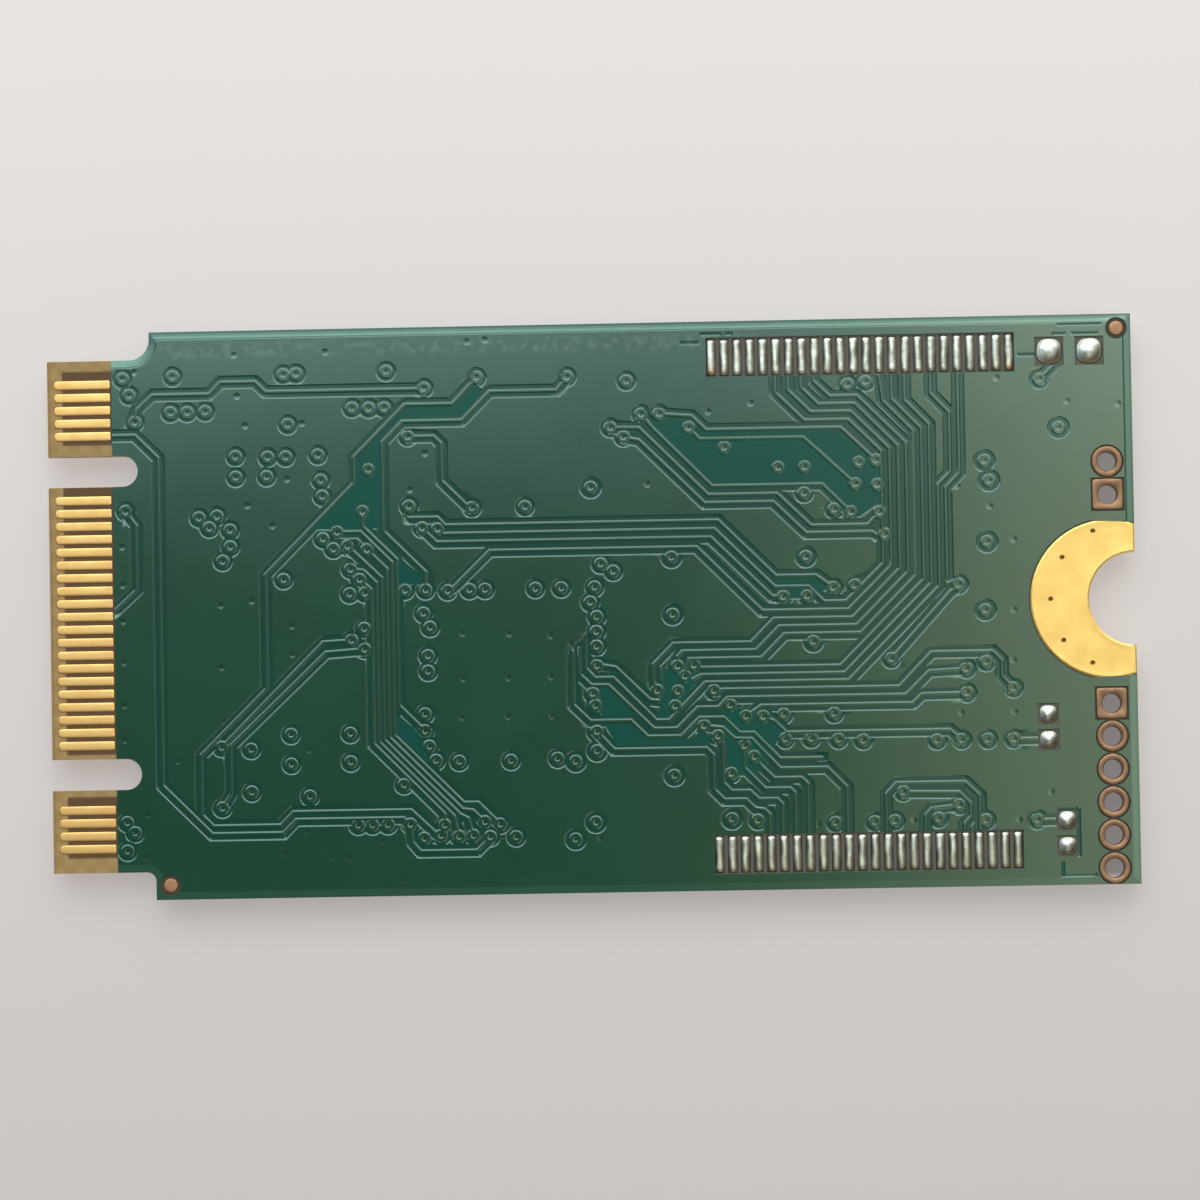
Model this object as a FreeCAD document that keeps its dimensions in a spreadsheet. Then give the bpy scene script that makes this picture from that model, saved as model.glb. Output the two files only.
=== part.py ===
import FreeCAD, Part
import math
import os
import Sketcher

# A solid state drive card with an edge connector at one end and a half-round screw notch at the other.
# Millimetres. +X runs from the connector edge to the screw end, +Y across the card, +Z out of the
# plain side.
# The card lies on its chips: z = 0 is the surface under them, below the middle of the board.

Vector = FreeCAD.Vector
doc = FreeCAD.newDocument("storage_card")
sheet = doc.addObject("Spreadsheet::Sheet", "Card")

# Driving sizes: alias, value
driving_sizes = [
    ("board_length", 42.0),
    ("laminate_thickness", 0.72),
    ("film_thickness", 0.04),
    ("film_gap", 0.05),
    ("tongue_length", 4.0),
    ("tongue_margin", 0.675),
    ("shoulder_step", 1.075),
    ("shoulder_radius_upper", 0.8),
    ("shoulder_radius_lower", 0.35),
    ("edge_bevel", 0.15),
    ("notch_width", 1.2),
    ("notch_depth", 3.5),
    ("contact_pitch", 0.5),
    ("contact_width", 0.35),
    ("contact_length", 2.2),
    ("contact_inset", 0.27),
    ("contact_corner", 0.09),
    ("contact_thickness", 0.04),
    ("screw_radius", 1.8),
    ("land_radius", 3.05),
    ("land_inset", 1.0),
    ("plating_thickness", 0.03),
    ("opening_margin", 0.06),
    ("header_land_gap", 0.37),
    ("header_edge_gap", 0.01),
    ("header_pad_gap", 0.05),
    ("header_inset", 1.0),
    ("header_bore_radius", 0.37),
    ("mark_radius", 0.28),
    ("mark_inset", 0.55),
    ("mark_margin", 0.14),
    ("flash_pitch", 0.5),
    ("flash_header_gap", 3.7),
    ("flash_row_inset", 1.4),
    ("flash_pad_width", 0.3),
    ("flash_pad_length", 1.42),
    ("solder_height", 0.09),
    ("solder_crown", 0.12),
    ("solder_slope", 0.1),
    ("spare_header_gap", 0.6),
    ("spare_pad_length", 1.0),
    ("small_pad_length", 0.7),
    ("small_pad_pitch", 1.0),
    ("small_pad_reach_upper", 2.45),
    ("small_pad_reach_lower", 1.8),
    ("small_pad_start_upper", 4.4),
    ("small_pad_start_lower", 8.5),
    ("trace_width", 0.12),
    ("trace_height", 0.03),
    ("flash_body_width", 12.0),
    ("flash_thickness", 1.0),
    ("flash_standoff", 0.1),
    ("flash_draft", 8.0),
    ("flash_foot_inset", 1.0),
    ("lead_width", 0.2),
    ("lead_thickness", 0.127),
    ("lead_foot", 0.5),
    ("lead_reach", 0.8),
    ("lead_knee", 0.15),
    ("controller_side", 9.0),
    ("controller_thickness", 0.85),
    ("controller_standoff", 0.05),
    ("controller_edge", 0.1),
    ("controller_offset", -2.6),
    ("terminal_corner", 0.75),
    ("terminal_width", 0.25),
    ("terminal_length", 0.5),
    ("terminal_reach", 0.12),
    ("first_pin_radius", 0.4),
    ("first_pin_inset", 1.1),
    ("first_pin_depth", 0.06),
    ("crystal_gap", 0.8),
    ("crystal_length", 3.2),
    ("crystal_width", 2.5),
    ("crystal_base_height", 0.5),
    ("crystal_lid_height", 0.25),
    ("crystal_lid_margin", 0.2),
    ("inductor_side", 4.0),
    ("inductor_offset", -3.2),
    ("inductor_terminal", 0.6),
    ("regulator_length", 2.9),
    ("regulator_width", 1.6),
    ("regulator_clearance", 0.07),
    ("regulator_pitch", 0.95),
    ("regulator_step", 4.0),
    ("regulator_lead_reach", 0.6),
    ("regulator_lead_width", 0.35),
    ("regulator_lead_inset", 0.4),
    ("chip_part_length", 1.6),
    ("chip_part_width", 0.8),
    ("chip_part_end", 0.35),
    ("capacitor_height", 0.8),
    ("resistor_height", 0.45),
    ("chip_part_pitch", 1.7),
]

# Sizes that follow from them. The holes of the longer header row fill the edge between the land and the
# corner, and the chips share the room between the shoulder and the flash chip evenly.
following_sizes = [
    ("tongue_width", "=37 * contact_pitch + 2 * tongue_margin"),
    ("board_width", "=tongue_width + 2 * shoulder_step"),
    ("edge_x", "=-board_length / 2"),
    ("tail_x", "=board_length / 2"),
    ("film_start", "=contact_inset + contact_length + film_gap"),
    ("shoulder_x", "=edge_x + tongue_length"),
    ("chip_drop", "=flash_standoff + flash_thickness"),
    ("laminate_low", "=chip_drop + film_thickness"),
    ("laminate_high", "=laminate_low + laminate_thickness"),
    ("film_high", "=laminate_high + film_thickness"),
    ("header_x", "=tail_x - header_inset"),
    ("header_room", "=board_width / 2 - header_edge_gap - land_radius - header_land_gap"),
    ("header_pitch", "=(header_room + header_pad_gap) / 6"),
    ("header_pad_radius", "=(header_pitch - header_pad_gap) / 2"),
    ("header_start", "=land_radius + header_land_gap + header_pad_radius"),
    ("flash_end", "=header_x - flash_header_gap"),
    ("flash_first", "=flash_end - 23 * flash_pitch"),
    ("flash_x", "=(flash_first + flash_end) / 2"),
    ("flash_row", "=board_width / 2 - flash_row_inset"),
    ("spare_pad_pitch", "=(flash_header_gap - spare_header_gap) / 2"),
    ("lead_tip", "=board_width / 2 - flash_foot_inset"),
    ("lead_root", "=lead_tip - lead_reach"),
    ("flash_near", "=flash_x - flash_body_width / 2"),
    ("controller_room", "=controller_side + 2 * terminal_reach"),
    ("chip_room", "=flash_near - shoulder_x - inductor_side - controller_room - 2 * chip_part_length"),
    ("chip_gap", "=chip_room / 5"),
    ("power_x", "=shoulder_x + chip_gap + inductor_side / 2"),
    ("capacitor_x", "=power_x + inductor_side / 2 + chip_gap + chip_part_length / 2"),
    ("controller_x", "=capacitor_x + chip_part_length / 2 + chip_gap + controller_room / 2"),
    ("resistor_x", "=flash_near - chip_gap - chip_part_length / 2"),
    ("terminal_pitch", "=(controller_side - 2 * terminal_corner) / 15"),
    ("regulator_height", "=chip_drop - lead_thickness - regulator_clearance"),
    ("mark_y", "=board_width / 2 - mark_inset"),
]

flash_lead_count = 24
terminal_count = 16
small_round_count = 12

# Contact positions are counted at half the pitch, from the middle one.
# A row is its first position and a count.
middle_position = 38
even_contact_counts = [(2, 5), (20, 20), (68, 4)]
odd_contact_counts = [(1, 6), (21, 19), (67, 5)]
notch_positions = [15.5, 62.5]

# Header holes on each side of the centre line
header_counts = [(1, 2), (-1, 6)]

# The plain side's copper tracks under the film, as centre lines on a routing grid over the whole board:
# steps from the connector edge, then steps from the centre line.
grid_count_along = 420
grid_count_across = 220
routes = [
    [(34, 75), (35, 80), (41, 85.5), (63, 85.5), (67.5, 90), (81, 90), (85, 86), (146.5, 86)],
    [(23, 70), (34, 70), (43, 61), (43, -66), (62, -85), (89.5, -85), (94.5, -80), (136, -80),
     (138.7, -82.5), (139.5, -89.5), (142.5, -93), (164.5, -93), (169.5, -88)],
    [(167, 90), (157.5, 80), (139, 80), (119, 60), (119, 50), (84, 15), (84, -29), (58, -54.5),
     (58, -77.5), (62.5, -82), (88.5, -82), (93.5, -77), (139, -77), (148.5, -86), (150.5, -87)],
    [(202, 89.5), (198, 84.5), (172, 84.5), (161, 73.5), (138, 73.5), (130, 65.5), (130, 31), (146, 15),
     (146, 8)],
    [(140, 67.5), (150, 67.5), (153, 64.5), (153, 50), (162, 41), (164.5, 39.5)],
    [(117, -11), (106, -11.5), (66, -51.5)],
    [(122, -14.5), (107, -15.5), (69.5, -51), (69.5, -69.5), (66, -75)],
    [(30, 40.5), (34, 35), (34, 10), (23, 0)],
    [(122, 38.8), (122, 33), (135, 20), (135, -36.5), (145, -46.5)],
    [(112, 31), (121, 31), (133, 19), (133, -48), (159.5, -74.5), (165, -74.5), (173.5, -83)],
    [(123.5, 24), (131, 16.5), (131, -48.8), (159, -77), (163, -77.5), (167.5, -82)],
    [(116, 25.5), (129, 13), (129, -49.7), (158, -79), (161, -80.5), (163, -87.2)],
    [(117, 16.5), (122, 16), (127, 11), (127, -50.5), (155.5, -79.5), (157.5, -87.5)],
    [(120.5, 12.5), (125, 8.5), (125, -51.3), (152, -78.7), (152, -83)],
    [(139.5, 36), (151, 36), (154, 32.9), (259.5, 32.9), (281.5, 11), (297, 11), (303.6, 6.1)],
    [(151, 31.5), (153.5, 29.6), (258, 29.6), (281, 6.8), (294, 6.8), (300, 0.8), (308.5, 0.8), (323, 15),
     (323, 58.5), (310.5, 71), (293.5, 71), (282.5, 82), (282.5, 90)],
    [(145, 32), (150.5, 26.4), (256.5, 26.4), (280, 3.2), (284.3, 2.9)],
    [(154.5, 7.5), (157.5, 9.5), (171, 22.7), (251, 22.7), (276, -2.4), (309.5, -2.4), (326.2, 14.2),
     (326.2, 59.5), (311.5, 74.2), (296, 74.2), (287.5, 82.7), (287.5, 90)],
    [(235, -32.5), (233.5, -29), (233.5, -22.5), (241.5, -14.5), (271.5, -14.5), (280.5, -5.5),
     (311, -5.5), (329.4, 13), (329.4, 60.5), (313, 77.2), (299, 77.2), (292.5, 83.7), (292.5, 90)],
    [(243, -23.2), (243, -19.5), (245, -17.5), (273.5, -17.5), (282.5, -8.5), (312.5, -8.5),
     (332.6, 11.6), (332.6, 61.5), (314, 80.2), (303.5, 80.2), (297.5, 86), (297.5, 90)],
    [(245.7, -27.1), (247.5, -20.5), (275.5, -20.5), (284.5, -11.5), (314, -11.5), (335.6, 10.2),
     (335.6, 66), (324, 78), (322.5, 90)],
    [(249.3, -22.9), (252, -24), (306, -24), (338.6, 8.6), (338.6, 67), (327.5, 78.5), (327.5, 90)],
    [(248.5, -28.5), (252, -26.8), (307.5, -26.8), (341.6, 7.3), (341.6, 68.5), (332.5, 78), (332.5, 90)],
    [(207.5, -12), (207.5, -23.5), (211, -27.2), (218, -27.2), (234.5, -44), (239.5, -44), (253.5, -29.7),
     (309, -29.7), (344.6, 6), (344.6, 45), (349.5, 50), (349.5, 73), (342.5, 80.5), (342.5, 90)],
    [(352, 6.4), (348.5, 3.5), (325.4, -21.8)],
    [(347.6, 9.5), (347.6, 44), (353, 49.5), (353, 90)],
    [(237.5, 74.5), (250, 73.5), (255.5, 68), (307.5, 68), (321, 55)],
    [(248.8, 69), (253, 64.5), (293, 64.5), (312.9, 46)],
    [(230.5, 74.5), (235, 69), (257.5, 46.2), (300, 46.2), (311, 35.2)],
    [(218.5, 69.5), (229.5, 69.3), (256, 42.8), (282.5, 42.8), (295.5, 30.2), (317.5, 30.2), (321, 34)],
    [(223.5, 65.8), (229.5, 64.5), (254.5, 39.7), (281, 39.7), (293.5, 27.4), (319, 27.4), (321, 26)],
    [(256.8, -32.9), (261, -32.5), (328.5, -32.5), (341, -19.5), (364.5, -19.5), (368, -23), (368, -29),
     (372.3, -33.9)],
    [(205, -15), (205, -25.5), (209.5, -30), (216, -30), (233.5, -47.2), (242.5, -47.2), (250.5, -39.3),
     (258.5, -39.3), (262, -35.7), (331, -35.7), (340, -26.8), (354.3, -26.1)],
    [(269, -43), (275, -39), (333.5, -39), (337, -35.6), (354.3, -35.4)],
    [(275.7, -43.2), (280, -45), (284.5, -49.5), (347.5, -49.5), (352, -53.5)],
    [(202.5, -16), (202.5, -37.5), (209, -43.8), (224.5, -43.8), (231, -50.2), (244, -50.2), (251, -43.3),
     (260.5, -43.3), (266.5, -49.3), (272, -49.3), (282, -59.5), (298.5, -59.5)],
    [(252.8, -46.4), (260, -47.2), (264.5, -51.5), (271, -51.7), (282, -63.3), (300, -63.3), (307.5, -71),
     (307.5, -91)],
    [(211.4, -47.9), (218, -55), (253.5, -55), (256.2, -57.7), (256.2, -71), (260.2, -75), (268.5, -75),
     (272, -78.5), (275.5, -79), (277.5, -81), (277.5, -91)],
    [(258.2, -50.4), (260, -53), (260, -68.5), (263, -71.7), (270, -71.7), (273.5, -75), (280.5, -75),
     (282.5, -77), (282.5, -91)],
    [(268.3, -54.3), (268.3, -63), (276, -71), (285.5, -71), (287.5, -73), (287.5, -91)],
    [(272, -58.6), (274.5, -62), (279.5, -67), (290, -67), (292.5, -69.5), (292.5, -91)],
    [(372, -53.5), (386, -53.5)],
    [(380.5, -84.8), (392, -84.8)],
    [(384.6, 85.2), (390, 90.5), (390, 93)],
    [(322.5, -91), (322.5, -74), (326.5, -69.7), (353, -69.7), (358.5, -75), (358.5, -91)],
    [(329.1, -73.2), (350.5, -73.6), (355, -78), (355, -83), (352.5, -86), (352.5, -91)],
    [(337.5, -91), (337.5, -82.5), (340, -79.7), (350.7, -78.6)],
    [(211.8, -22), (219, -23.2), (232, -36), (236, -36.5)],
]


# Document helpers

def fill_sheet():
    rows = [(alias, "%g" % number) for alias, number in driving_sizes] + following_sizes
    for row, (alias, content) in enumerate(rows, start=1):
        sheet.set("A%d" % row, alias)
        sheet.set("B%d" % row, content)
        sheet.setAlias("B%d" % row, alias)
    doc.recompute()


def size(expression):
    return float(sheet.evalExpression(expression))


def new_body(label):
    body = doc.addObject("PartDesign::Body", label)
    body.Label = label
    return body


def origin_feature(body, role):
    return next(feature for feature in body.Origin.OriginFeatures if feature.Role == role)


def new_sketch(body, name, lift, plane="XY_Plane"):
    sketch = body.newObject("Sketcher::SketchObject", name)
    sketch.AttachmentSupport = (origin_feature(body, plane), [""])
    sketch.MapMode = "FlatFace"
    sketch.setExpression("AttachmentOffset.Base.z", lift)
    return sketch


def place_point(sketch, element, vertex, x, y):
    for kind, place in (("DistanceX", x), ("DistanceY", y)):
        constraint = Sketcher.Constraint(kind, -1, 1, element, vertex, size(place))
        index = sketch.addConstraint(constraint)
        sketch.setExpression("Constraints[%d]" % index, place)


def add_polygon(sketch, corners):
    points = [Vector(size(x), size(y), 0) for x, y in corners]
    count = len(points)
    first = sketch.GeometryCount
    for index in range(count):
        sketch.addGeometry(Part.LineSegment(points[index], points[(index + 1) % count]))
    for index in range(count):
        following = first + (index + 1) % count
        sketch.addConstraint(Sketcher.Constraint("Coincident", first + index, 2, following, 1))
    for index, (x, y) in enumerate(corners):
        place_point(sketch, first + index, 1, x, y)


def add_rectangle(sketch, low_x, high_x, low_y, high_y):
    add_polygon(sketch, [(low_x, low_y), (high_x, low_y), (high_x, high_y), (low_x, high_y)])


def add_circle(sketch, x, y, radius):
    circle = Part.Circle(Vector(size(x), size(y), 0), Vector(0, 0, 1), size(radius))
    element = sketch.addGeometry(circle)
    place_point(sketch, element, 3, x, y)
    index = sketch.addConstraint(Sketcher.Constraint("Radius", element, size(radius)))
    sketch.setExpression("Constraints[%d]" % index, radius)


def add_small_round(sketch, x, y, radius):
    # a circle too small to need more than a few sides
    corners = []
    for index in range(small_round_count):
        turn = 2 * math.pi * index / small_round_count
        corners.append(("%s + %.9f * (%s)" % (x, math.cos(turn), radius),
                        "%s + %.9f * (%s)" % (y, math.sin(turn), radius)))
    add_polygon(sketch, corners)


def pad(body, sketch, length, midplane=False, taper=None):
    feature = body.newObject("PartDesign::Pad", sketch.Name + "_pad")
    feature.Profile = sketch
    feature.setExpression("Length", length)
    feature.Midplane = midplane
    if taper:
        feature.setExpression("TaperAngle", taper)
    sketch.Visibility = False
    return feature


def cut_through(body, sketch):
    feature = body.newObject("PartDesign::Pocket", sketch.Name + "_cut")
    feature.Profile = sketch
    feature.Type = 1
    feature.Midplane = True
    return feature


def repeat(body, feature, axis, step, count, backwards=False):
    doc.recompute()
    pattern = body.newObject("PartDesign::LinearPattern", feature.Name + "_row")
    pattern.Originals = [feature]
    pattern.Direction = (origin_feature(body, axis), [""])
    pattern.Reversed = backwards
    pattern.Mode = "Spacing"
    pattern.setExpression("Offset", step)
    pattern.Occurrences = count
    body.Tip = pattern
    return pattern


def box(label, length, width, height, x, y, z):
    # a block whose middle lies at x and y, and whose underside lies at z
    block = doc.addObject("Part::Box", label)
    block.setExpression("Length", length)
    block.setExpression("Width", width)
    block.setExpression("Height", height)
    block.setExpression("Placement.Base.x", "%s - (%s) / 2" % (x, length))
    block.setExpression("Placement.Base.y", "%s - (%s) / 2" % (y, width))
    block.setExpression("Placement.Base.z", z)
    return block


def small_round(label, radius, height, x, y, z):
    rod = doc.addObject("Part::Prism", label)
    rod.Polygon = small_round_count
    rod.setExpression("Circumradius", radius)
    rod.setExpression("Height", height)
    rod.setExpression("Placement.Base.x", x)
    rod.setExpression("Placement.Base.y", y)
    rod.setExpression("Placement.Base.z", z)
    return rod


def group(label, pieces):
    compound = doc.addObject("Part::Compound", label)
    compound.Label = label
    compound.Links = pieces
    return compound


# Places that several pieces share

def contact_y(number):
    return "%g * Card.contact_pitch / 2" % (middle_position - number)


def header_places():
    # side of the centre line, then the place of each hole; the first hole of a group has a square pad
    places = []
    for side, count in header_counts:
        for index in range(count):
            y = "%d * (Card.header_start + %d * Card.header_pitch)" % (side, index)
            places.append((y, index == 0))
    return places


def spare_pad_places():
    # the bare pads of parts that aren't fitted: middle and side of each
    places = []
    for index in (1, 2):
        x = "Card.flash_end + %d * Card.spare_pad_pitch" % index
        places.append((x, "Card.flash_row", "Card.spare_pad_length"))
    for pair in ("upper", "lower"):
        x = "Card.header_x - Card.small_pad_reach_" + pair
        for index in (0, 1):
            y = "-(Card.small_pad_start_%s + %d * Card.small_pad_pitch)" % (pair, index)
            places.append((x, y, "Card.small_pad_length"))
    return places


def mark_places():
    return [("Card.tail_x - Card.mark_inset", "Card.mark_y"),
            ("Card.shoulder_x + Card.mark_inset", "-Card.mark_y")]


def flash_window(side):
    margin = "(Card.flash_pad_width / 2 + Card.opening_margin)"
    reach = "(Card.flash_pad_length / 2 + Card.opening_margin)"
    return ("Card.flash_first - " + margin, "Card.flash_end + " + margin,
            "%d * Card.flash_row - %s" % (side, reach), "%d * Card.flash_row + %s" % (side, reach))


def header_window(side, count):
    reach = "(Card.header_pad_radius + Card.opening_margin)"
    near = "%d * (Card.header_start - %s)" % (side, reach)
    far = "%d * (Card.header_start + %d * Card.header_pitch + %s)" % (side, count - 1, reach)
    low, high = (near, far) if side > 0 else (far, near)
    return ("Card.header_x - " + reach, "Card.header_x + " + reach, low, high)


def square_window(x, y, side):
    reach = "(%s / 2 + Card.opening_margin)" % side
    return (x + " - " + reach, x + " + " + reach, y + " - " + reach, y + " + " + reach)


def header_windows():
    return [header_window(side, count) for side, count in header_counts]


def plain_windows():
    flash = [flash_window(side) for side in (1, -1)]
    spare = [square_window(*place) for place in spare_pad_places()]
    return header_windows() + flash + spare


# The board: one outline for the laminate and for the film on each face

def card_sheet(label, start, low, thickness):
    body = new_body(label)
    outline = new_sketch(body, label + "_outline", low)
    half_tongue = "Card.tongue_width / 2"
    half_width = "Card.board_width / 2"
    add_polygon(outline, [(start, "-" + half_tongue), ("Card.shoulder_x", "-" + half_tongue),
                          ("Card.shoulder_x", "-" + half_width), ("Card.tail_x", "-" + half_width),
                          ("Card.tail_x", half_width), ("Card.shoulder_x", half_width),
                          ("Card.shoulder_x", half_tongue), (start, half_tongue)])
    pad(body, outline, thickness)
    doc.recompute()
    for side, radius in ((1, "Card.shoulder_radius_upper"), (-1, "Card.shoulder_radius_lower")):
        base = body.Tip
        corner = Vector(size("Card.shoulder_x"), side * size(half_tongue), size(low))
        names = upright_edges(base.Shape, corner)
        fillet = body.newObject("PartDesign::Fillet", label + "_shoulder")
        fillet.Base = (base, names)
        fillet.setExpression("Radius", radius)
        doc.recompute()
    notches = new_sketch(body, label + "_notches", low)
    ends = new_sketch(body, label + "_notch_ends", low)
    for place in notch_positions:
        y = contact_y(place)
        end_x = "Card.edge_x + Card.notch_depth - Card.notch_width / 2"
        add_rectangle(notches, "Card.edge_x - Card.notch_width", end_x,
                      y + " - Card.notch_width / 2", y + " + Card.notch_width / 2")
        add_circle(ends, end_x, y, "Card.notch_width / 2")
    cut_through(body, notches)
    cut_through(body, ends)
    return body


same_place = 1e-6


def upright_edges(shape, corner):
    names = []
    for index, edge in enumerate(shape.Edges, start=1):
        ends = [vertex.Point for vertex in edge.Vertexes]
        flat = [math.hypot(point.x - corner.x, point.y - corner.y) for point in ends]
        if len(ends) == 2 and max(flat) < same_place:
            names.append("Edge%d" % index)
    return names


def level_edges(shape, level):
    names = []
    for index, edge in enumerate(shape.Edges, start=1):
        if all(abs(vertex.Point.z - level) < same_place for vertex in edge.Vertexes):
            names.append("Edge%d" % index)
    return names


def front_edges(shape):
    names = []
    for index, edge in enumerate(shape.Edges, start=1):
        ends = [vertex.Point for vertex in edge.Vertexes]
        on_front = all(abs(point.x - size("Card.edge_x")) < same_place for point in ends)
        level = len(ends) == 2 and abs(ends[0].z - ends[1].z) < same_place
        if on_front and level:
            names.append("Edge%d" % index)
    return names


def circuit_board():
    body = card_sheet("circuit_board", "Card.edge_x", "Card.laminate_low", "Card.laminate_thickness")
    holes = new_sketch(body, "board_holes", "Card.laminate_low")
    add_circle(holes, "Card.tail_x", "0", "Card.screw_radius + Card.plating_thickness")
    for y, is_first in header_places():
        add_small_round(holes, "Card.header_x", y, "Card.header_bore_radius + Card.plating_thickness")
    cut_through(body, holes)
    doc.recompute()
    bevel = body.newObject("PartDesign::Chamfer", "board_bevel")
    base = bevel.BaseFeature
    bevel.Base = (base, front_edges(base.Shape))
    bevel.setExpression("Size", "Card.edge_bevel")
    return body


def film(label, low, windows, marks):
    start = "Card.edge_x + Card.film_start"
    body = card_sheet(label, start, low, "Card.film_thickness")
    openings = new_sketch(body, label + "_openings", low)
    for window in windows:
        add_rectangle(openings, *window)
    for x, y in marks:
        add_small_round(openings, x, y, "Card.mark_radius + Card.mark_margin")
    cut_through(body, openings)
    land = new_sketch(body, label + "_land_opening", low)
    add_circle(land, "Card.tail_x - Card.land_inset", "0", "Card.land_radius + Card.opening_margin")
    cut_through(body, land)
    return body


# Tracks: each route is a stroke of one width, with mitred corners, on top of the plain side's film

def stroke_outline(points, width):
    count = len(points)
    steps = []
    for start, end in zip(points, points[1:]):
        step = (end - start).normalize()
        steps.append(Vector(-step.y, step.x, 0))
    left = []
    right = []
    for index in range(count):
        before = steps[max(index - 1, 0)]
        after = steps[min(index, count - 2)]
        middle = (before + after).normalize()
        reach = width / 2 / middle.dot(after)
        left.append(points[index] + middle * reach)
        right.append(points[index] - middle * reach)
    return left + right[::-1]


def plain_side_traces():
    step_x = size("Card.board_length") / grid_count_along
    step_y = size("Card.board_width") / grid_count_across
    base = size("Card.film_high")
    height = size("Card.trace_height")
    strokes = []
    for route in routes:
        points = [Vector(size("Card.edge_x") + along * step_x, across * step_y, base)
                  for along, across in route]
        outline = stroke_outline(points, size("Card.trace_width"))
        face = Part.Face(Part.makePolygon(outline + outline[:1]))
        strokes.append(face.extrude(Vector(0, 0, height)))
    openings = []
    for window in plain_windows():
        low_x, high_x, low_y, high_y = [size(place) for place in window]
        openings.append(Part.makeBox(high_x - low_x, high_y - low_y, 2 * base, Vector(low_x, low_y, 0)))
    front = Vector(size("Card.edge_x"), -size("Card.board_width") / 2, 0)
    openings.append(Part.makeBox(size("Card.film_start"), size("Card.board_width"), 2 * base, front))
    tracks = []
    for stroke in strokes:
        tracks.extend(stroke.cut(openings).Solids)
    feature = doc.addObject("Part::Feature", "plain_side_traces")
    feature.Label = "plain_side_traces"
    feature.Shape = Part.makeCompound(tracks)
    return feature


# Edge contacts: rows of gold fingers with cut corners at the outer end

def contacts(label, low, groups):
    body = new_body(label)
    outer = "Card.edge_x + Card.contact_inset"
    inner = outer + " + Card.contact_length"
    for first, count in groups:
        sketch = new_sketch(body, "%s_%d" % (label, first), low)
        y = contact_y(first)
        half = "Card.contact_width / 2"
        corner = "Card.contact_corner"
        add_polygon(sketch, [(outer, "%s - %s + %s" % (y, half, corner)),
                             (outer + " + " + corner, "%s - %s" % (y, half)),
                             (inner, "%s - %s" % (y, half)),
                             (inner, "%s + %s" % (y, half)),
                             (outer + " + " + corner, "%s + %s" % (y, half)),
                             (outer, "%s + %s - %s" % (y, half, corner))])
        finger = pad(body, sketch, "Card.contact_thickness")
        repeat(body, finger, "Y_Axis", "Card.contact_pitch", count, backwards=True)
    return body


# Plated metal at the screw end

def screw_land():
    body = new_body("screw_land")
    land_x = "Card.tail_x - Card.land_inset"
    for low in ("Card.chip_drop", "Card.laminate_high"):
        face = new_sketch(body, "land_face", low)
        add_circle(face, land_x, "0", "Card.land_radius")
        pad(body, face, "Card.film_thickness")
    sleeve = new_sketch(body, "land_sleeve", "Card.laminate_low")
    add_circle(sleeve, "Card.tail_x", "0", "Card.screw_radius + Card.plating_thickness")
    pad(body, sleeve, "Card.laminate_thickness")
    notch = new_sketch(body, "land_notch", "Card.laminate_low")
    add_circle(notch, "Card.tail_x", "0", "Card.screw_radius")
    cut_through(body, notch)
    beyond = new_sketch(body, "land_end", "Card.laminate_low")
    reach = "2 * Card.land_radius"
    add_rectangle(beyond, "Card.tail_x", "Card.tail_x + " + reach, "-" + reach, reach)
    cut_through(body, beyond)
    return body


def header_eyelets():
    eyelets = []
    pad_side = "2 * Card.header_pad_radius"
    x = "Card.header_x"
    for y, is_first in header_places():
        parts = [small_round("eyelet_barrel", "Card.header_bore_radius + Card.plating_thickness",
                             "Card.laminate_thickness", x, y, "Card.laminate_low")]
        for low in ("Card.chip_drop", "Card.laminate_high"):
            if is_first:
                parts.append(box("eyelet_pad", pad_side, pad_side, "Card.film_thickness", x, y, low))
            else:
                parts.append(small_round("eyelet_pad", "Card.header_pad_radius", "Card.film_thickness",
                                         x, y, low))
        blank = doc.addObject("Part::MultiFuse", "eyelet_blank")
        blank.Shapes = parts
        bore = small_round("eyelet_bore", "Card.header_bore_radius", "2 * Card.film_high", x, y, "0")
        eyelet = doc.addObject("Part::Cut", "eyelet")
        eyelet.Base = blank
        eyelet.Tool = bore
        eyelets.append(eyelet)
    return group("header_eyelets", eyelets)


def corner_marks():
    discs = []
    for x, y in mark_places():
        discs.append(small_round("corner_mark", "Card.mark_radius", "Card.film_thickness", x, y,
                                 "Card.laminate_high"))
    return group("corner_marks", discs)


# Bare solder pads on the plain side

def spare_flash_pads(label, side):
    body = new_body(label)
    middle = "%d * Card.flash_row" % side
    profile = new_sketch(body, label + "_profile", "-(%s)" % middle, "XZ_Plane")
    half = "Card.flash_pad_width / 2"
    low = "Card.laminate_high"
    shoulder = low + " + Card.solder_height / 2"
    top = low + " + Card.solder_height"
    crown = "Card.solder_crown / 2"
    first = "Card.flash_first"
    add_polygon(profile, [(first + " - " + half, low), (first + " + " + half, low),
                          (first + " + " + half, shoulder), (first + " + " + crown, top),
                          (first + " - " + crown, top), (first + " - " + half, shoulder)])
    ridge = pad(body, profile, "Card.flash_pad_length", midplane=True)
    repeat(body, ridge, "X_Axis", "Card.flash_pitch", flash_lead_count)
    return body


def spare_part_pads():
    pads = []
    for x, y, side in spare_pad_places():
        base = box("pad_base", side, side, "Card.film_thickness", x, y, "Card.laminate_high")
        crown_side = "%s - 2 * Card.solder_slope" % side
        crown = box("pad_crown", crown_side, crown_side, "Card.solder_height - Card.film_thickness", x, y,
                    "Card.film_high")
        blob = doc.addObject("Part::Fuse", "pad_blob")
        blob.Base = base
        blob.Tool = crown
        pads.append(blob)
    return group("spare_part_pads", pads)


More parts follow.
